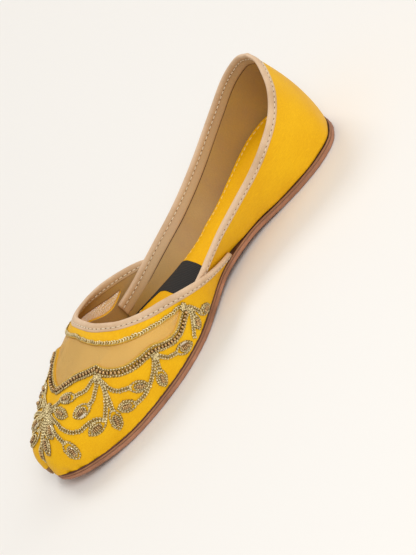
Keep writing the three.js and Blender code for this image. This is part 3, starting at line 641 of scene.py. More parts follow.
# BINDINGS. A strip of thin beige leather, folded over each top edge and stitched through both sides in one
# line of running stitches near its lower edge.
BINDING_WIDTH = 5.2
INNER_WIDTH = 8.4
BINDING_SECTION = {
    "down": (5.25, 5.2, 4.9, 4.2, 3.5, 3.1, 2.6, 1.9, 1.2, 0.6, 0.2, 0.02, 0.0),
    "out": (-0.1, 0.2, 0.32, 0.34, 0.16, 0.34, 0.46, 0.5, 0.42, 0.24, -0.02, -0.3, -0.6),
}
BINDING_BEIGE = (0.75, 0.52, 0.33)
BINDING_SHADE = (0.55, 0.35, 0.19)
BINDING_INNER_SHADE = (0.56, 0.36, 0.17)


def lay_binding(face, wall, inner_width, spread_round):
    """Lays a closed band over a top edge: down its outer side, over the fold and down its inner side."""
    count = len(BINDING_SECTION["down"])
    down = np.array(BINDING_SECTION["down"])
    inner = np.where(down > 3.5, 3.5 + (down - 3.5) * (inner_width - 3.5) / (BINDING_WIDTH - 3.5), down)
    down = np.r_[down, inner[::-1], down[0]]
    out = np.array(BINDING_SECTION["out"])
    out = np.r_[out, -wall - out[::-1], out[0]]

    def lay(u, v):
        round_ = spread_round(u)
        row = np.rint(v * 2 * count).astype(int)
        up = up_below_top(face, round_, down[row])
        return lifted(face, round_, up, out[row])

    return lay


vamp_binding = wrapped_grid(
    "vamp_binding_leather", 300, 2 * len(BINDING_SECTION["down"]),
    lay_binding(vamp_face, VAMP_WALL, BINDING_WIDTH, lambda u: np.sign(u - 0.5) * np.abs(u * 2 - 1) ** 0.8),
    closed=True)
quarter_binding = wrapped_grid(
    "quarter_binding_leather", 300, 2 * len(BINDING_SECTION["down"]),
    lay_binding(quarter_face, QUARTER_WALL, INNER_WIDTH, lambda u: u * 2 - 1), closed=True)
binding_leather, binding_tree, _, binding_grain = leather_material(
    "binding_leather", BINDING_BEIGE, BINDING_SHADE, 1100.0, 0.35)
# The band's inner side is painted darker than its outer side, as painted shade.
section_place = node(binding_tree, "ShaderNodeAttribute", attribute_name="across")
inward = map_range(binding_tree, 0.55, 0.85)
inner_side_shade = node(binding_tree, "ShaderNodeMix", data_type="RGBA")
inner_side_shade.inputs[6].default_value = colour(*BINDING_BEIGE)
inner_side_shade.inputs[7].default_value = colour(*BINDING_INNER_SHADE)
join(binding_tree, (section_place.outputs["Fac"], inward.inputs["Value"]),
     (inward.outputs["Result"], inner_side_shade.inputs["Factor"]),
     (inner_side_shade.outputs[2], binding_grain.inputs["Colour"]))
for piece, cad_node in ((vamp_binding, "vamp_binding"), (quarter_binding, "quarter_binding")):
    piece.data.materials.append(binding_leather)
    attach(piece, "root")
    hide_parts(cad_node)

# NET. A fine tan mesh cloth, stretched over the cut-out of the vamp and held under its edges. The cloth is a
# thin sheet, and its material leaves see-through gaps between crossed threads.
NET_THICKNESS = 0.28
NET_DEPTH = 0.55
NET_TAN = (0.8, 0.5, 0.14)


def lay_net(u, v):
    round_ = WINDOW_END * 0.998 * (u * 2 - 1)
    up = mix(window_edge("low", round_), window_edge("high", round_), v)
    return lifted(vamp_face, round_, up, -NET_DEPTH - 0.25 * np.sin(np.pi * v))


net = wrapped_grid("net_mesh", 240, 24, lay_net)
faces_out(net, (0, -60, 12))
apply_wall(net, NET_THICKNESS, cut_edge=0)
net_cloth, net_tree, net_shader, net_vector = new_material(
    "net_cloth", 0.7, Base_Color=colour(*NET_TAN))
strands = []
for direction, turn in (("X", 0.6), ("Y", 0.6)):
    wave = node(net_tree, "ShaderNodeTexWave", wave_type="BANDS", bands_direction=direction, Scale=640.0,
                Distortion=0.6, Detail=1.0)
    turned = node(net_tree, "ShaderNodeMapping", Rotation=(0.0, 0.0, turn))
    net_tree.links.new(net_vector, turned.inputs["Vector"])
    net_tree.links.new(turned.outputs["Vector"], wave.inputs["Vector"])
    strands.append(wave)
crossing = node(net_tree, "ShaderNodeMath", operation="MAXIMUM")
cover = map_range(net_tree, 0.47, 1.0, 0.06, 0.92)
join(net_tree, (strands[0].outputs["Fac"], crossing.inputs[0]),
     (strands[1].outputs["Fac"], crossing.inputs[1]), (crossing.outputs["Value"], cover.inputs["Value"]),
     (cover.outputs["Result"], net_shader.inputs["Alpha"]))
net.data.materials.append(net_cloth)
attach(net, "root")
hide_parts("vamp_net")

# EMBROIDERY THREAD. Gold zari thread worked in chain stitch: each loop lies over the tail of the one before.
# One loop is made here and copied along every line of the embroidery.
CHAIN_LENGTH = 2.6
CHAIN_PITCH = 1.55
CHAIN_SLANT = 0.22
# ZARI_SHADE is both the thread's darker random tone and the painted shade in its hollows.
ZARI_GOLD = (1.0, 0.83, 0.44)
ZARI_SHADE = (0.27, 0.17, 0.05)


def settle(target, round_, up, turns=8):
    """Place on the vamp nearest to each point, found by stepping from a place close by."""
    step = 0.002
    for _ in range(turns):
        here = vamp_face(round_, up)
        along = (vamp_face(round_ + step, up) - here) / step
        upward = (vamp_face(round_, up + step) - here) / step
        miss = target - here
        a, b, c = np.sum(along * along, -1), np.sum(along * upward, -1), np.sum(upward * upward, -1)
        da, db = np.sum(miss * along, -1), np.sum(miss * upward, -1)
        det = a * c - b * b
        round_ = round_ + np.clip((c * da - b * db) / det, -0.03, 0.03)
        up = np.clip(up + np.clip((a * db - b * da) / det, -0.08, 0.08), 0.001, 1.0)
    return round_, up


def on_vamp(round_, up):
    """Places on the vamp and its normals there."""
    return vamp_face(round_, up), face_normal(vamp_face, round_, up)


def even_run(line, pitch, ends=True):
    """Where to read a line so that what is strewn along it lies an even pitch apart, as parts of its rows."""
    run = np.r_[0, np.cumsum(np.linalg.norm(np.diff(line, axis=0), axis=1))]
    count = max(2, int(round(run[-1] / pitch)) + 1)
    stops = np.linspace(0, run[-1], count)
    return np.interp(stops if ends else stops[:-1] + stops[1] / 2, run, np.arange(len(line)))


def read_rows(rows, at):
    return np.column_stack([np.interp(at, np.arange(len(rows)), rows[:, k]) for k in range(rows.shape[1])])


def curve_through(points, steps=24):
    """An open smooth line through a few places, given in shares round and up the vamp."""
    points = np.asarray(points, float)
    if len(points) == 2:
        return mix(points[0], points[1], np.linspace(0, 1, steps)[:, None])
    padded = np.vstack([2 * points[0] - points[1], points, 2 * points[-1] - points[-2]])
    t = np.linspace(0, 1, steps, endpoint=False)[:, None]
    made = []
    for i in range(1, len(padded) - 2):
        a, b, c, d = padded[i - 1:i + 3]
        made.append(0.5 * (2 * b + (c - a) * t + (2 * a - 5 * b + 4 * c - d) * t**2
                           + (3 * b - a - 3 * c + d) * t**3))
    return np.vstack(made + [points[-1:]])


def frames_along(line, normals, out, length, width, height, jitter=0.0, seed=1, slant=0.0, yaw=0.0):
    """Matrices that lay a copy at each place of a line: length along it, height off the surface."""
    along = unit(np.gradient(line, axis=0))
    side = unit(np.cross(normals, along))
    up = np.cross(along, side)
    loose = np.random.default_rng(seed).normal(0, 1, (len(line), 3)) * jitter
    tilt = yaw + loose[:, :1]
    along, side = along + side * tilt, side - along * tilt
    rising = slant + loose[:, 2:]
    along, up = along + up * rising, up - along * rising
    made = np.zeros((len(line), 4, 4))
    made[:, :3, 0], made[:, :3, 1], made[:, :3, 2] = along * length, side * width, up * height
    made[:, :3, 3] = line + normals * out + side * loose[:, 1:2] * width * 0.5
    made[:, 3, 3] = 1
    return made


def strewn(name, model, matrices, finish, seed=1):
    """Joins a copy of one modelled piece at each matrix into a single mesh, each with a tint of its own."""
    source = model.data
    flat = np.empty(len(source.vertices) * 3)
    source.vertices.foreach_get("co", flat)
    shape = flat.reshape(-1, 3)
    corners = np.empty(len(source.loops), np.int32)
    source.loops.foreach_get("vertex_index", corners)
    starts = np.empty(len(source.polygons), np.int32)
    source.polygons.foreach_get("loop_start", starts)
    count = len(matrices)
    points = np.einsum("nij,vj->nvi", matrices[:, :3, :3], shape) + matrices[:, None, :3, 3]
    mesh = bpy.data.meshes.new(name)
    mesh.vertices.add(count * len(shape))
    mesh.vertices.foreach_set("co", (points * 0.001).astype(np.float32).ravel())
    mesh.loops.add(count * len(corners))
    each = np.arange(count)[:, None]
    mesh.loops.foreach_set("vertex_index", (corners + each * len(shape)).astype(np.int32).ravel())
    mesh.polygons.add(count * len(starts))
    mesh.polygons.foreach_set("loop_start", (starts + each * len(corners)).astype(np.int32).ravel())
    mesh.update(calc_edges=True)
    mesh.validate()
    mesh.shade_smooth()
    piece = bpy.data.objects.new(name, mesh)
    bpy.context.scene.collection.objects.link(piece)
    paint(piece, "tint", np.repeat(np.random.default_rng(seed).random(count), len(shape)))
    crown = np.empty(len(shape))
    source.attributes["crown"].data.foreach_get("value", crown)
    paint(piece, "crown", np.tile(crown, count))
    mesh.materials.append(finish)
    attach(piece, "root")
    return piece


def metal_material(name, bright, dark, roughness, metallic, scale, hollow=1.0):
    """Metal or coated thread, darkened in its hollows by painted shade read from the crown attribute, whose
    tone also shifts at random from copy to copy and along it.
    """
    made, tree, shader, vector = new_material(name, roughness, metallic)
    tint = node(tree, "ShaderNodeAttribute", attribute_name="tint")
    twist = node(tree, "ShaderNodeTexNoise", Scale=scale, Detail=2.0)
    share = node(tree, "ShaderNodeMath", operation="MULTIPLY_ADD")
    share.inputs[1].default_value = 0.7
    crown = node(tree, "ShaderNodeAttribute", attribute_name="crown")
    # Low crown values, in the hollows, are mixed towards the dark colour as painted shade.
    painted_hollow_shade = map_range(tree, 0.35, 0.85, hollow, 0.0)
    both = node(tree, "ShaderNodeMath", operation="MULTIPLY_ADD")
    both.inputs[1].default_value = 0.4
    tone = node(tree, "ShaderNodeMix", data_type="RGBA")
    tone.inputs[6].default_value = colour(*bright)
    tone.inputs[7].default_value = colour(*dark)
    narrow = map_range(tree, 0.4, 1.2)
    lift = node(tree, "ShaderNodeBump", Strength=0.6, Distance=0.0002)
    join(tree, (vector, twist.inputs["Vector"]), (tint.outputs["Fac"], share.inputs[0]),
         (twist.outputs["Fac"], share.inputs[2]), (share.outputs["Value"], narrow.inputs["Value"]),
         (crown.outputs["Fac"], painted_hollow_shade.inputs["Value"]), (narrow.outputs["Result"], both.inputs[0]),
         (painted_hollow_shade.outputs["Result"], both.inputs[2]), (both.outputs["Value"], tone.inputs["Factor"]),
         (tone.outputs[2], shader.inputs["Base Color"]), (twist.outputs["Fac"], lift.inputs["Height"]),
         (lift.outputs["Normal"], shader.inputs["Normal"]))
    return made


def as_model(name, crown=lambda at: at[:, 2] * 0 + 1):
    """Takes the active object out of sight as a model that is only copied. crown says how far each point of
    it stands out of its hollows, from 0 to 1; the metal material paints shade where it is low."""
    model = bpy.context.object
    model.name = name
    model.hide_render = True
    paint(model, "crown", crown(points_of(model)))
    return model


bpy.ops.object.select_all(action="DESELECT")
bpy.ops.mesh.primitive_torus_add(major_segments=10, minor_segments=4, major_radius=0.34, minor_radius=0.17)
bpy.ops.object.mode_set(mode="EDIT")
bpy.ops.mesh.select_all(action="DESELECT")
bpy.ops.object.mode_set(mode="OBJECT")
for corner in bpy.context.object.data.vertices:
    corner.select = corner.co.x < -0.1
bpy.ops.object.mode_set(mode="EDIT")
bpy.ops.transform.resize(value=(1.0, 0.55, 0.8))
bpy.ops.object.mode_set(mode="OBJECT")
# Each loop is painted darker at its bottom and at its tail, where the next loop covers it: painted shade.
chain_loop = as_model("chain_loop", lambda at: (0.5 + at[:, 2] / at[:, 2].max() / 2) * ease(
    -0.9, 0.2, at[:, 0] / at[:, 0].max()))
zari = metal_material("zari_thread", ZARI_GOLD, ZARI_SHADE, 0.34, 0.4, 1400.0)


def vamp_line(places, pitch, side, offset=0.0):
    """A line on the vamp through a few places, its normals, and how it may be moved to one side."""
    places = curve_through(places) * (side, 1)
    line = vamp_face(places[:, 0], places[:, 1])
    places = read_rows(places, even_run(line, pitch))
    line, normals = on_vamp(*places.T)
    if offset:
        across = unit(np.cross(normals, np.gradient(line, axis=0)))
        round_, up = settle(line + across * np.reshape(offset, (-1, 1)) * side, places[:, 0], places[:, 1])
        line, normals = on_vamp(round_, up)
    return line, normals


def chain(line, normals, seed, wide=1.7, out=0.45, yaw=0.3):
    """Matrices of the loops of one row of chain stitch, each turned a little across the row."""
    return frames_along(line, normals, out, CHAIN_LENGTH, wide, 2.0, 0.13, seed, CHAIN_SLANT, yaw)


# SCALLOP EDGING. Along the net's lower edge: a silk piping, a line of chain stitch, a row of dark glass beads
# threaded on wire, and a second line of chain stitch. Along its upper edge: one line of chain and a piping.
PIPING = 0.6
EDGING = {"piping": 0.45, "inner_chain": 1.5, "beads": 3.05, "outer_chain": 4.7}
BEAD_PITCH = 2.05
UPPER_LINE = {"piping": 0.3, "chain": 1.25}
BEAD_AMBER = (0.74, 0.46, 0.18)
# The dark bead colour serves both as random darker tone and as painted shade on the beads' undersides and
# ends.
BEAD_BROWN_AND_SHADE = (0.13, 0.055, 0.015)
PIPING_GOLD = (0.8, 0.5, 0.09)


def edge_line(edge, offset, pitch, reach=1.0, ends=True):
    """A line that runs beside an edge of the window, offset towards the silk."""
    round_ = np.linspace(-WINDOW_END * reach, WINDOW_END * reach, 900)
    up = window_edge(edge, round_)
    line, normals = on_vamp(round_, up)
    across = unit(np.cross(np.gradient(line, axis=0), normals)) * (1 if edge == "low" else -1)
    round_, up = settle(line + across * offset, round_, up)
    smooth = np.array([0.25, 0.5, 0.25])
    for _ in range(14):
        round_[1:-1] = np.convolve(round_, smooth, "valid")
        up[1:-1] = np.convolve(up, smooth, "valid")
    line = vamp_face(round_, up)
    at = even_run(line, pitch, ends)
    round_, up = read_rows(np.column_stack([round_, up]), at).T
    return on_vamp(round_, up)


def cord_along(name, line, normals, radius, finish, slot, out=0.0, sides=8, flat=1.0):
    """A round cord laid along a line on a surface, closed at both ends."""
    along = unit(np.gradient(line, axis=0))
    side = unit(np.cross(normals, along))
    rows = len(line) - 1

    def lay(u, v):
        row = np.rint(u * rows).astype(int)
        turn = v * 2 * np.pi
        ring = side[row] * np.cos(turn)[:, None] + normals[row] * flat * np.sin(turn)[:, None]
        return line[row] + normals[row] * out + ring * radius

    piece = wrapped_grid(name, rows, sides, lay, closed=True)
    piece.data.materials.append(finish)
    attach(piece, "root")
    return piece


piping_silk = silk_material("piping_silk", PIPING_GOLD, (0.45, 0.25, 0.03), 0.6)
cord_along("scallop_piping", *edge_line("low", EDGING["piping"], 0.9), PIPING, piping_silk, "silk", 0.15)
cord_along("upper_piping", *edge_line("high", UPPER_LINE["piping"], 0.9), PIPING * 0.8, piping_silk, "silk",
           0.1)
border_chain = np.concatenate([
    chain(*edge_line("low", EDGING["inner_chain"], CHAIN_PITCH), 3, 1.2),
    chain(*edge_line("low", EDGING["outer_chain"], CHAIN_PITCH), 4, 1.3),
    chain(*edge_line("high", UPPER_LINE["chain"], CHAIN_PITCH), 5, 2.4, 0.4),
])
border = strewn("border_chain", chain_loop, border_chain, zari)
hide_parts("scallop_border")

bpy.ops.object.select_all(action="DESELECT")
bpy.ops.mesh.primitive_torus_add(major_segments=8, minor_segments=5, major_radius=0.3, minor_radius=0.2,
                                 rotation=(0, math.pi / 2, 0))
bpy.ops.object.transform_apply(location=False, rotation=True, scale=False)
# Each bead is painted darker at its underside and at both ends: painted shade.
bead_ring = as_model("bead_ring", lambda at: (0.5 + at[:, 2] / at[:, 2].max() / 2) * (
    1 - 0.5 * abs(at[:, 0]) / at[:, 0].max()))
amber = metal_material("amber_bead", BEAD_AMBER, BEAD_BROWN_AND_SHADE, 0.2, 0.45, 600.0, 0.8)
bead_line, bead_normals = edge_line("low", EDGING["beads"], BEAD_PITCH)
strewn("border_beads", bead_ring,
       frames_along(bead_line, bead_normals, 0.95, 4.6, 2.1, 2.0, 0.06, 7), amber, 7)

# LEAVES. Each is an almond of chain stitch round a smaller oval ring, with a gilt sequin and a row of dark
# beads in its middle. On a few leaves the sequin shows at one side of the beads. They hang on double stems of
# chain stitch from a few knots of thread, the same on both sides.
LEAVES = {
    "toe_inner": (0.023, 0.501, 0.074, 0.385, 6.0), "toe_outer": (0.036, 0.568, 0.085, 0.487, 5.6),
    "side_low": (0.143, 0.43, 0.172, 0.2, 6.4), "wing_low": (0.06, 0.616, 0.145, 0.567, 5.6),
    "wing_high": (0.172, 0.638, 0.075, 0.657, 5.6), "under_peak": (0.265, 0.527, 0.183, 0.541, 6.6),
    "side_front": (0.309, 0.337, 0.24, 0.35, 6.0), "side_drop": (0.346, 0.36, 0.325, 0.14, 6.0),
    "side_middle": (0.415, 0.21, 0.366, 0.325, 6.2), "under_valley": (0.433, 0.375, 0.481, 0.24, 6.0),
    "ball_drop": (0.535, 0.26, 0.512, 0.06, 5.8), "ball_back": (0.61, 0.2, 0.668, 0.085, 6.0),
    "corner_drop": (0.742, 0.33, 0.722, 0.09, 4.8), "corner_back": (0.765, 0.24, 0.812, 0.12, 5.2),
}
TOE_LEAF = (0.0, 0.41, 0.0, 0.2, 5.4)
LEAF_BEADS = 5
LEAF_POINT = 1.25
RING_PITCH = 1.25
RING_STEPS = 90
SEQUIN_REACH = 0.62
CRESCENTS = {"under_peak": 0.42, "ball_back": 0.42, "wing_high": 0.25, "toe_outer": 0.25}
STEMS = (
    ((0, 0.602), (0, 0.5), (0, 0.41)),
    ((0.004, 0.6), (0.012, 0.55), (0.023, 0.501)),
    ((0.006, 0.602), (0.02, 0.585), (0.036, 0.568)),
    ((0.01, 0.6), (0.035, 0.605), (0.06, 0.616)),
    ((0.01, 0.606), (0.045, 0.628), (0.08, 0.65)),
    ((0.03, 0.58), (0.09, 0.52), (0.143, 0.43)),
    ((0.02, 0.596), (0.086, 0.565), (0.128, 0.518), (0.167, 0.473), (0.204, 0.439), (0.238, 0.433),
     (0.278, 0.412), (0.309, 0.345)),
    ((0.312, 0.64), (0.276, 0.645), (0.236, 0.632), (0.172, 0.645)),
    ((0.312, 0.63), (0.305, 0.585), (0.29, 0.545), (0.265, 0.527)),
    ((0.322, 0.625), (0.34, 0.57), (0.345, 0.511), (0.335, 0.43), (0.309, 0.34)),
    ((0.325, 0.62), (0.343, 0.54), (0.352, 0.45), (0.348, 0.36)),
    ((0.32, 0.632), (0.337, 0.59), (0.362, 0.52), (0.392, 0.444), (0.433, 0.378)),
    ((0.548, 0.38), (0.53, 0.32), (0.504, 0.265), (0.48, 0.222), (0.448, 0.2), (0.415, 0.21)),
    ((0.553, 0.378), (0.548, 0.33), (0.535, 0.262)),
    ((0.558, 0.378), (0.568, 0.34), (0.583, 0.262), (0.61, 0.2)),
    ((0.733, 0.64), (0.745, 0.56), (0.748, 0.45), (0.742, 0.33)),
    ((0.735, 0.635), (0.752, 0.52), (0.762, 0.38), (0.765, 0.25)),
    ((0.73, 0.64), (0.742, 0.46), (0.716, 0.249), (0.69, 0.1)),
)
KNOTS = ((0.0, 0.602, 3.6), (0.312, 0.637, 2.6), (0.555, 0.39, 2.4), (0.733, 0.65, 2.2))
SEQUIN_GOLD = (1.0, 0.9, 0.72)
SEQUIN_SHADE = (0.26, 0.14, 0.045)


def leaf_frame(row, side):
    """Middle of a leaf, its two half axes along the surface, and its normal."""
    ends = vamp_face(np.array((row[0], row[2])) * side, np.array((row[1], row[3])))
    middle = ends.mean(axis=0, keepdims=True)
    start = np.array([(row[0] + row[2]) / 2 * side]), np.array([(row[1] + row[3]) / 2])
    round_, up = settle(middle, *start)
    normal = face_normal(vamp_face, round_, up)[0]
    along = (ends[1] - ends[0]) / 2
    across = np.cross(normal, along)
    across *= row[4] / 2 / np.linalg.norm(across)
    return middle[0], along, across, normal, (round_, up)


def oval_chain(middle, along, across, start, point, pitch, *how):
    """One ring of chain stitch on the vamp. point above 1 draws its two ends out to tips."""
    turn = np.linspace(0, 2 * np.pi, RING_STEPS)
    reach = np.abs(np.sin(turn)) ** point * np.sign(np.sin(turn))
    ring = middle + np.outer(np.cos(turn), along) + np.outer(reach, across)
    spots = settle(ring, *(np.full(RING_STEPS, at[0]) for at in start))
    spots = read_rows(np.column_stack(spots), even_run(vamp_face(*spots), pitch, ends=False))
    return chain(*on_vamp(*spots.T), *how)


bpy.ops.object.select_all(action="DESELECT")
bpy.ops.mesh.primitive_uv_sphere_add(segments=14, ring_count=8, radius=1)
bpy.ops.object.mode_set(mode="EDIT")
bpy.ops.mesh.select_all(action="SELECT")
bpy.ops.mesh.bisect(plane_co=(0, 0, -0.05), plane_no=(0, 0, 1), use_fill=True, clear_inner=True)
bpy.ops.object.mode_set(mode="OBJECT")
for corner in bpy.context.object.data.vertices:
    corner.co.y *= 1 - 0.45 * abs(corner.co.x) ** 1.5
# Each dome is painted bright along one side, a painted highlight where it shows past the beads, and dark over
# the rest, as painted shade under the beads.
sequin_dome = as_model("sequin_dome", lambda at: 0.15 + 0.85 * ease(0.1, 0.6, at[:, 1] / at[:, 1].max()))
leaf_chain, leaf_beads, sequins, leaf_nodes = [], [], [], ["leaf_toe"]
for number, (name, row) in enumerate([*LEAVES.items(), ("toe", TOE_LEAF)]):
    for side in ((1,) if name == "toe" else (1, -1)):
        if name != "toe":
            leaf_nodes.append(f"leaf_{name}_{'right' if side > 0 else 'left'}")
        middle, along, across, normal, start = leaf_frame(row, side)
        seed = number * 4
        leaf_chain.append(oval_chain(middle, along, across, start, LEAF_POINT, CHAIN_PITCH, seed, 1.15))
        heart = vamp_face(*start)[0] + along * 0.1
        leaf_chain.append(oval_chain(
            heart, along * 0.56, across * 0.6, start, 1.0, RING_PITCH, seed + 2, 0.95, 0.6))
        dome = np.eye(4)
        shown = CRESCENTS.get(name, 0.0)
        dome[:3, 0], dome[:3, 1], dome[:3, 2] = along * SEQUIN_REACH, across * SEQUIN_REACH, normal * 0.5
        dome[:3, 3] = heart + across * shown + normal * (0.42 + 0.5 * abs(shown))
        sequins.append(dome[None])
        at = np.linspace(-0.36, 0.36, LEAF_BEADS)[:, None]
        line = heart + along * at + normal * (1.0 - 0.8 * at**2)
        beads = frames_along(line, np.repeat(normal[None], LEAF_BEADS, 0), 0.0, 2.7, 2.9, 2.2, 0.09, number)
        beads[:, :3, 1] *= 1 - 1.3 * at**2
        leaf_beads.append(beads)
leaves = strewn("leaf_chain", chain_loop, np.concatenate(leaf_chain), zari, 11)
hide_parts(*leaf_nodes)
strewn("leaf_beads", bead_ring, np.concatenate(leaf_beads), amber, 12)
gilt = metal_material("gilt_sequin", SEQUIN_GOLD, SEQUIN_SHADE, 0.16, 0.5, 260.0)
strewn("leaf_sequins", sequin_dome, np.concatenate(sequins), gilt, 13)

stem_chain = []
for number, places in enumerate(STEMS):
    for side in ((1,) if number == 0 else (1, -1)):
        for apart in (-0.55, 0.55):
            row = vamp_line(places, CHAIN_PITCH, side, apart)
            stem_chain.append(chain(*row, 50 + number, 1.15, yaw=0.6 * apart * side))
rng = np.random.default_rng(5)
for round_, up, size in KNOTS:
    for side in ((1,) if round_ == 0 else (1, -1)):
        middle, normal = on_vamp(np.array([round_ * side]), np.array([up]))
        for _ in range(int(size * 5)):
            way = rng.normal(0, 1, 3)
            way -= normal[0] * way.dot(normal[0])
            way /= np.linalg.norm(way)
            line = middle + np.outer(np.linspace(-0.5, 0.5, 5) * size, way)
            line += normal * (0.5 + rng.random() * 0.9)
            stem_chain.append(chain(line, np.repeat(normal, 5, 0), int(rng.integers(999)), 1.1, 0.0))
strewn("stem_chain", chain_loop, np.concatenate(stem_chain), zari, 14)

# FOOTBED. A padded insole board covered in the same silk, turned under at its edge and quilted down by a line
# of running stitches. It fills the shoe from wall to wall and rises to the heel seat.
INSOLE_SECTIONS = {
    "from_toe": (5, 25, 55, 90, 118, 138, 160, 190, 220, 246),
    "edge": (13.2, 9.2, 7.4, 7.6, 9, 10.8, 12.6, 15.2, 17, 17.4),
    "crown": (0.3, 1.5, 3.5, 5, 5, 4.2, 3.2, 2.4, 2, 1),
}
INSOLE_START = 10.0
STITCH_INSET = 4.3
STITCH_PITCH = 3.6
SEAM_TURNS = 460.0
FRONT_TURN = 0.05
FRONT_BULGE = 2.6
INSOLE_ROWS = 44


def insole_inset(from_toe):
    inside_vamp = QUARTER_INSIDE_VAMP * (1 - ease(WING_TIP, INSIDE_VAMP_END, from_toe))
    return LEDGE + inside_vamp + QUARTER_WALL + BED_CLEARANCE


def insole_edge(share):
    """Place on the footbed's edge by its share from toe to heel."""
    from_toe = plan(share, 0)[1]
    half, from_toe = plan(share, insole_inset(from_toe))
    return half, from_toe


insole_share = np.linspace(share_at(INSOLE_START + 2.5), 1, 400)
insole_half, insole_from_toe = insole_edge(insole_share)
insole_order = np.maximum.accumulate(insole_from_toe)


def insole_width(from_toe):
    return np.interp(from_toe, insole_order, insole_half)


def insole_height(half, from_toe):
    """Height of the padding, rolled down over its edge and drawn in along the line of stitches."""
    wide = np.maximum(insole_width(from_toe), 0.5)
    share = np.clip(np.abs(half) / wide, 0, 1)
    edge = column(INSOLE_SECTIONS, "from_toe", "edge", from_toe)
    return edge + column(INSOLE_SECTIONS, "from_toe", "crown", from_toe) * (1 - share**2)


def lay_insole(u, v):
    turn = u * 2
    side = np.where(turn > 1, -1.0, 1.0)
    turn = np.minimum(turn, 2 - turn)
    front = np.clip(turn / FRONT_TURN, 0, 1)
    share = mix(insole_share[0], 1, np.clip((turn - FRONT_TURN) / (1 - FRONT_TURN), 0, 1))
    edge_half, edge_from_toe = insole_edge(share)
    edge_half, edge_from_toe = edge_half * front, edge_from_toe - FRONT_BULGE * (1 - front**2)
    row = np.rint(v * INSOLE_ROWS)
    reach = np.clip(row / (INSOLE_ROWS - 5), 0, 1) ** 0.8
    spine = np.clip(edge_from_toe, 30.0, 228.0)
    half, from_toe = edge_half * reach, mix(spine, edge_from_toe, reach)
    from_edge = np.hypot(edge_half - half, edge_from_toe - from_toe)
    roll = 1.6 * (1 - np.sqrt(1 - np.clip(1 - from_edge / 2.4, 0, 1) ** 2))
    pucker = 0.5 + 0.5 * np.cos(share * SEAM_TURNS)
    groove = (0.35 + 0.3 * pucker) * np.exp(-(((from_edge - STITCH_INSET) / 0.8) ** 2))
    height = insole_height(half, from_toe) - roll - groove
    down = np.clip((row - (INSOLE_ROWS - 5)) / 5, 0, 1)
    height = mix(height, sole_top(half, from_toe) + BED_CLEARANCE, down)
    return place(side * half, from_toe, height)


footbed = wrapped_grid("footbed_silk", 320, INSOLE_ROWS, lay_insole, closed=True)
footbed_silk = silk_material("footbed_silk", (0.93, 0.5, 0.006), (0.74, 0.35, 0.004), 0.7, ior=1.1)
footbed.data.materials.append(footbed_silk)
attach(footbed, "root")
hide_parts("insole")

# One running stitch: a short thread that dips into its hole at both ends.
bpy.ops.object.select_all(action="DESELECT")
bpy.ops.mesh.primitive_uv_sphere_add(segments=10, ring_count=6, radius=1, rotation=(0, math.pi / 2, 0))
bpy.ops.object.transform_apply(location=False, rotation=True, scale=False)
stitch = as_model("running_stitch")
gold_thread = silk_material("gold_thread", (0.95, 0.7, 0.25), (0.75, 0.45, 0.1), 0.5)
cream_thread = silk_material("cream_thread", (0.86, 0.76, 0.6), (0.66, 0.53, 0.36), 0.5)
# A dark material for painted shade in needle holes and in gaps.
hole_and_gap_shade = leather_material("needle_hole_and_gap_shade", (0.1, 0.045, 0.015), (0.05, 0.02, 0.008), 900.0, 0.3)[0]

seam_share = np.linspace(share_at(60), 1, 300)
seam_half, seam_from_toe = insole_edge(seam_share)
seam_half = np.r_[seam_half, -seam_half[::-1]]
seam_from_toe = np.r_[seam_from_toe, seam_from_toe[::-1]]
seam = np.column_stack([seam_half, seam_from_toe])
way = np.gradient(seam, axis=0)
way /= np.maximum(np.linalg.norm(way, axis=1, keepdims=True), 1e-6)
seam += np.column_stack([-way[:, 1], way[:, 0]]) * STITCH_INSET
seam = seam[even_run(seam, STITCH_PITCH).round().astype(int)]
seam_line = place(seam[:, 0], seam[:, 1], insole_height(np.abs(seam[:, 0]), seam[:, 1]) - 0.34)
upward = np.repeat([[0.0, 0.0, 1.0]], len(seam_line), 0)
strewn("footbed_stitches", stitch, frames_along(seam_line, upward, 0.0, 1.2, 0.4, 0.42, 0.05, 3),
       gold_thread, 21)

# The wide inner leaf of the heel wall's binding ends in a dark line: a dark cord laid as painted shadow of
# the gap below its edge.
round_ = np.linspace(-0.985, 0.985, 400)
leaf_edge = up_below_top(quarter_face, round_, INNER_WIDTH + 0.1)
leaf_normal = face_normal(quarter_face, round_, leaf_edge)
cord_along("binding_inner_edge_shadow", quarter_face(round_, leaf_edge) - leaf_normal * (QUARTER_WALL + 0.05),
           -leaf_normal, 0.3, hole_and_gap_shade, "binding_leather", flat=0.6)

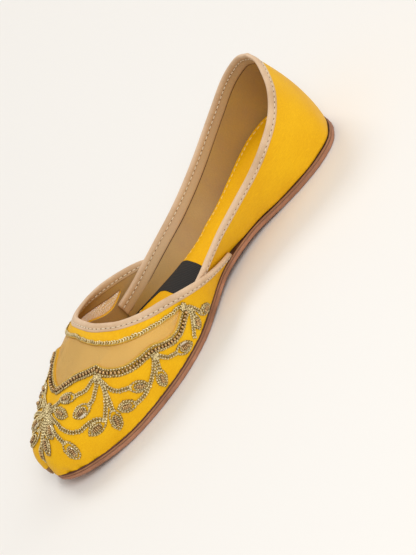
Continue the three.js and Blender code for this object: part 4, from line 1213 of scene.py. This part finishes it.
# Stitches of the bindings, on the outer and the inner side, each between two needle holes.
BINDING_STITCH_DOWN = 3.5
BINDING_STITCH_PITCH = 3.1
for label, face, wall, reach in (("vamp", vamp_face, VAMP_WALL, 0.985),
                                 ("quarter", quarter_face, QUARTER_WALL, 0.99)):
    round_ = np.linspace(-reach, reach, 700)
    up = up_below_top(face, round_, BINDING_STITCH_DOWN)
    at = even_run(face(round_, up), BINDING_STITCH_PITCH)
    round_, up = read_rows(np.column_stack([round_, up]), at).T
    normals = face_normal(face, round_, up)
    outer, inner = face(round_, up) + normals * 0.2, face(round_, up) - normals * (wall + 0.2)
    threads = np.concatenate([frames_along(outer, normals, 0.12, 1.1, 0.33, 0.3, 0.04, 5),
                              frames_along(inner, -normals, 0.12, 1.1, 0.33, 0.3, 0.04, 6)])
    strewn(f"{label}_binding_stitches", stitch, threads, cream_thread, 31)
    # Each needle hole is a small dark oval, painted shade in the hole.
    between = (outer[1:] + outer[:-1]) / 2, (inner[1:] + inner[:-1]) / 2
    holes = np.concatenate([frames_along(between[0], normals[1:], 0.0, 0.42, 0.3, 0.16, 0.0, 5),
                            frames_along(between[1], -normals[1:], 0.0, 0.34, 0.22, 0.16, 0.0, 6)])
    strewn(f"{label}_binding_hole_shade", stitch, holes, hole_and_gap_shade, 32)

# BAND. A plain black woven ribbon, glued across the waist of the footbed and run forward along both of its
# edges.
BAND = {"across": (0, 0.45, 0.66, 0.8, 0.95), "front": (117.5, 117.5, 115.5, 108, 97),
        "back": (138, 138, 137.7, 137.4, 137)}
BAND_BLACK = (0.012, 0.01, 0.009)


def lay_band(u, v):
    across = 0.95 * (u * 2 - 1)
    front, behind = (column(BAND, "across", edge, np.abs(across)) for edge in ("front", "back"))
    from_toe = mix(front, behind, v)
    half = insole_width(from_toe) * across
    return place(half, from_toe, insole_height(half, from_toe) + 0.25)


band = wrapped_grid("band_ribbon", 120, 40, lay_band)
faces_out(band, (0, 0, -40))
apply_wall(band, 0.45, cut_edge=0)
ribbon, ribbon_tree, ribbon_shader, ribbon_vector = new_material(
    "ribbon_weave", 0.8, Specular_IOR_Level=0.25)
rib = node(ribbon_tree, "ShaderNodeTexWave", wave_type="BANDS", bands_direction="Y", Scale=330.0,
           Distortion=1.5, Detail=2.0)
rib_tone = node(ribbon_tree, "ShaderNodeMix", data_type="RGBA")
rib_tone.inputs[6].default_value = colour(*BAND_BLACK)
rib_tone.inputs[7].default_value = colour(0.03, 0.026, 0.023)
rib_lift = node(ribbon_tree, "ShaderNodeBump", Strength=0.5, Distance=0.0002)
join(ribbon_tree, (ribbon_vector, rib.inputs["Vector"]), (rib.outputs["Fac"], rib_tone.inputs["Factor"]),
     (rib_tone.outputs[2], ribbon_shader.inputs["Base Color"]),
     (rib.outputs["Fac"], rib_lift.inputs["Height"]),
     (rib_lift.outputs["Normal"], ribbon_shader.inputs["Normal"]))
band.data.materials.append(ribbon)
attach(band, "root")
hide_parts("insole_band")

# TOE KNOT. A few turns of thick beige thread that close the notch where the two lobes of the toe meet.
KNOT = {"from_toe": 0.9, "height": 11.6, "half": 1.3, "deep": 0.8, "tall": 1.9}
bpy.ops.object.select_all(action="DESELECT")
bpy.ops.mesh.primitive_torus_add(major_segments=20, minor_segments=8, major_radius=0.7, minor_radius=0.42)
knot_turn = as_model("knot_turn")
turns = []
for share in np.linspace(-0.8, 0.8, 5):
    turn = np.eye(4)
    turn[:3, 0] = (KNOT["half"], 0, 0.12)
    turn[:3, 1] = (0, KNOT["deep"] * 1.2, 0)
    turn[:3, 2] = (-0.1, 0, 0.9)
    turn[:3, 3] = place(0.0, KNOT["from_toe"] + 0.3 * share**2, KNOT["height"] + share * KNOT["tall"])
    turns.append(turn)
knot_thread = silk_material("knot_thread", (0.42, 0.26, 0.13), (0.25, 0.13, 0.06), 0.6)
knot = strewn("toe_knot_thread", knot_turn, np.array(turns), knot_thread, 41)
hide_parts("toe_knot")

for model in (chain_loop, bead_ring, sequin_dome, stitch, knot_turn):
    bpy.data.objects.remove(model)

# STUDIO. A plain pale floor, large soft lights, and the camera at the photograph's angle to the shoe.
bpy.ops.object.select_all(action="DESELECT")
bpy.ops.mesh.primitive_plane_add(size=30, location=(0, 0, -0.0002))
floor = bpy.context.object
floor.name = "floor"
floor_paper, _, floor_shader, _ = new_material("floor_paper", 0.55)
floor_shader.inputs["Base Color"].default_value = colour(0.84, 0.812, 0.77)
floor.data.materials.append(floor_paper)

world = bpy.data.worlds.new("studio")
bpy.context.scene.world = world
world.use_nodes = True
world.node_tree.nodes["Background"].inputs["Color"].default_value = colour(1.0, 0.985, 0.96)
world.node_tree.nodes["Background"].inputs["Strength"].default_value = 0.55
for name, place_at, size, power in (
    ("key", (1.8, 0.0, 1.6), 1.4, 30.0),
    ("fill", (-1.5, 0.4, 1.9), 1.0, 16.0),
    ("back", (0.15, 2.0, 1.3), 1.5, 7.0),
):
    bpy.ops.object.light_add(type="AREA", location=place_at)
    lamp = bpy.context.object
    lamp.name = name
    lamp.data.size = size
    lamp.data.energy = power
    lamp.rotation_euler = (-Vector(place_at)).to_track_quat("-Z", "Y").to_euler()

CAMERA = {"elevation": 26.87, "azimuth": 78.89, "roll": 49.87, "focal_px": 2530.377, "distance": 1376.8834,
          "aim": (0.0, 125.0, 20.0), "shift": (-19.757, -1.088), "sensor": 36.0, "long_side": 555}
elevation, azimuth, roll = (math.radians(CAMERA[key]) for key in ("elevation", "azimuth", "roll"))
back = np.array((math.sin(azimuth) * math.cos(elevation), -math.cos(azimuth) * math.cos(elevation),
                 math.sin(elevation)))
right = np.cross((0, 0, 1), back)
right /= np.linalg.norm(right)
over = np.cross(back, right)
rolled_right = math.cos(roll) * right - math.sin(roll) * over
rolled_over = math.sin(roll) * right + math.cos(roll) * over
aim = np.array(place(CAMERA["aim"][0], CAMERA["aim"][1], CAMERA["aim"][2]), float)
stand = aim - rolled_right * CAMERA["shift"][0] + rolled_over * CAMERA["shift"][1] + back * CAMERA["distance"]
camera_data = bpy.data.cameras.new("camera")
camera_data.sensor_width = CAMERA["sensor"]
camera_data.lens = CAMERA["sensor"] * CAMERA["focal_px"] / CAMERA["long_side"]
camera = bpy.data.objects.new("camera", camera_data)
bpy.context.scene.collection.objects.link(camera)
rows = [[rolled_right[k], rolled_over[k], back[k], stand[k] * 0.001] for k in range(3)]
camera.matrix_world = Matrix(rows + [[0, 0, 0, 1]])
bpy.context.scene.camera = camera
bpy.context.scene.view_settings.view_transform = "Standard"
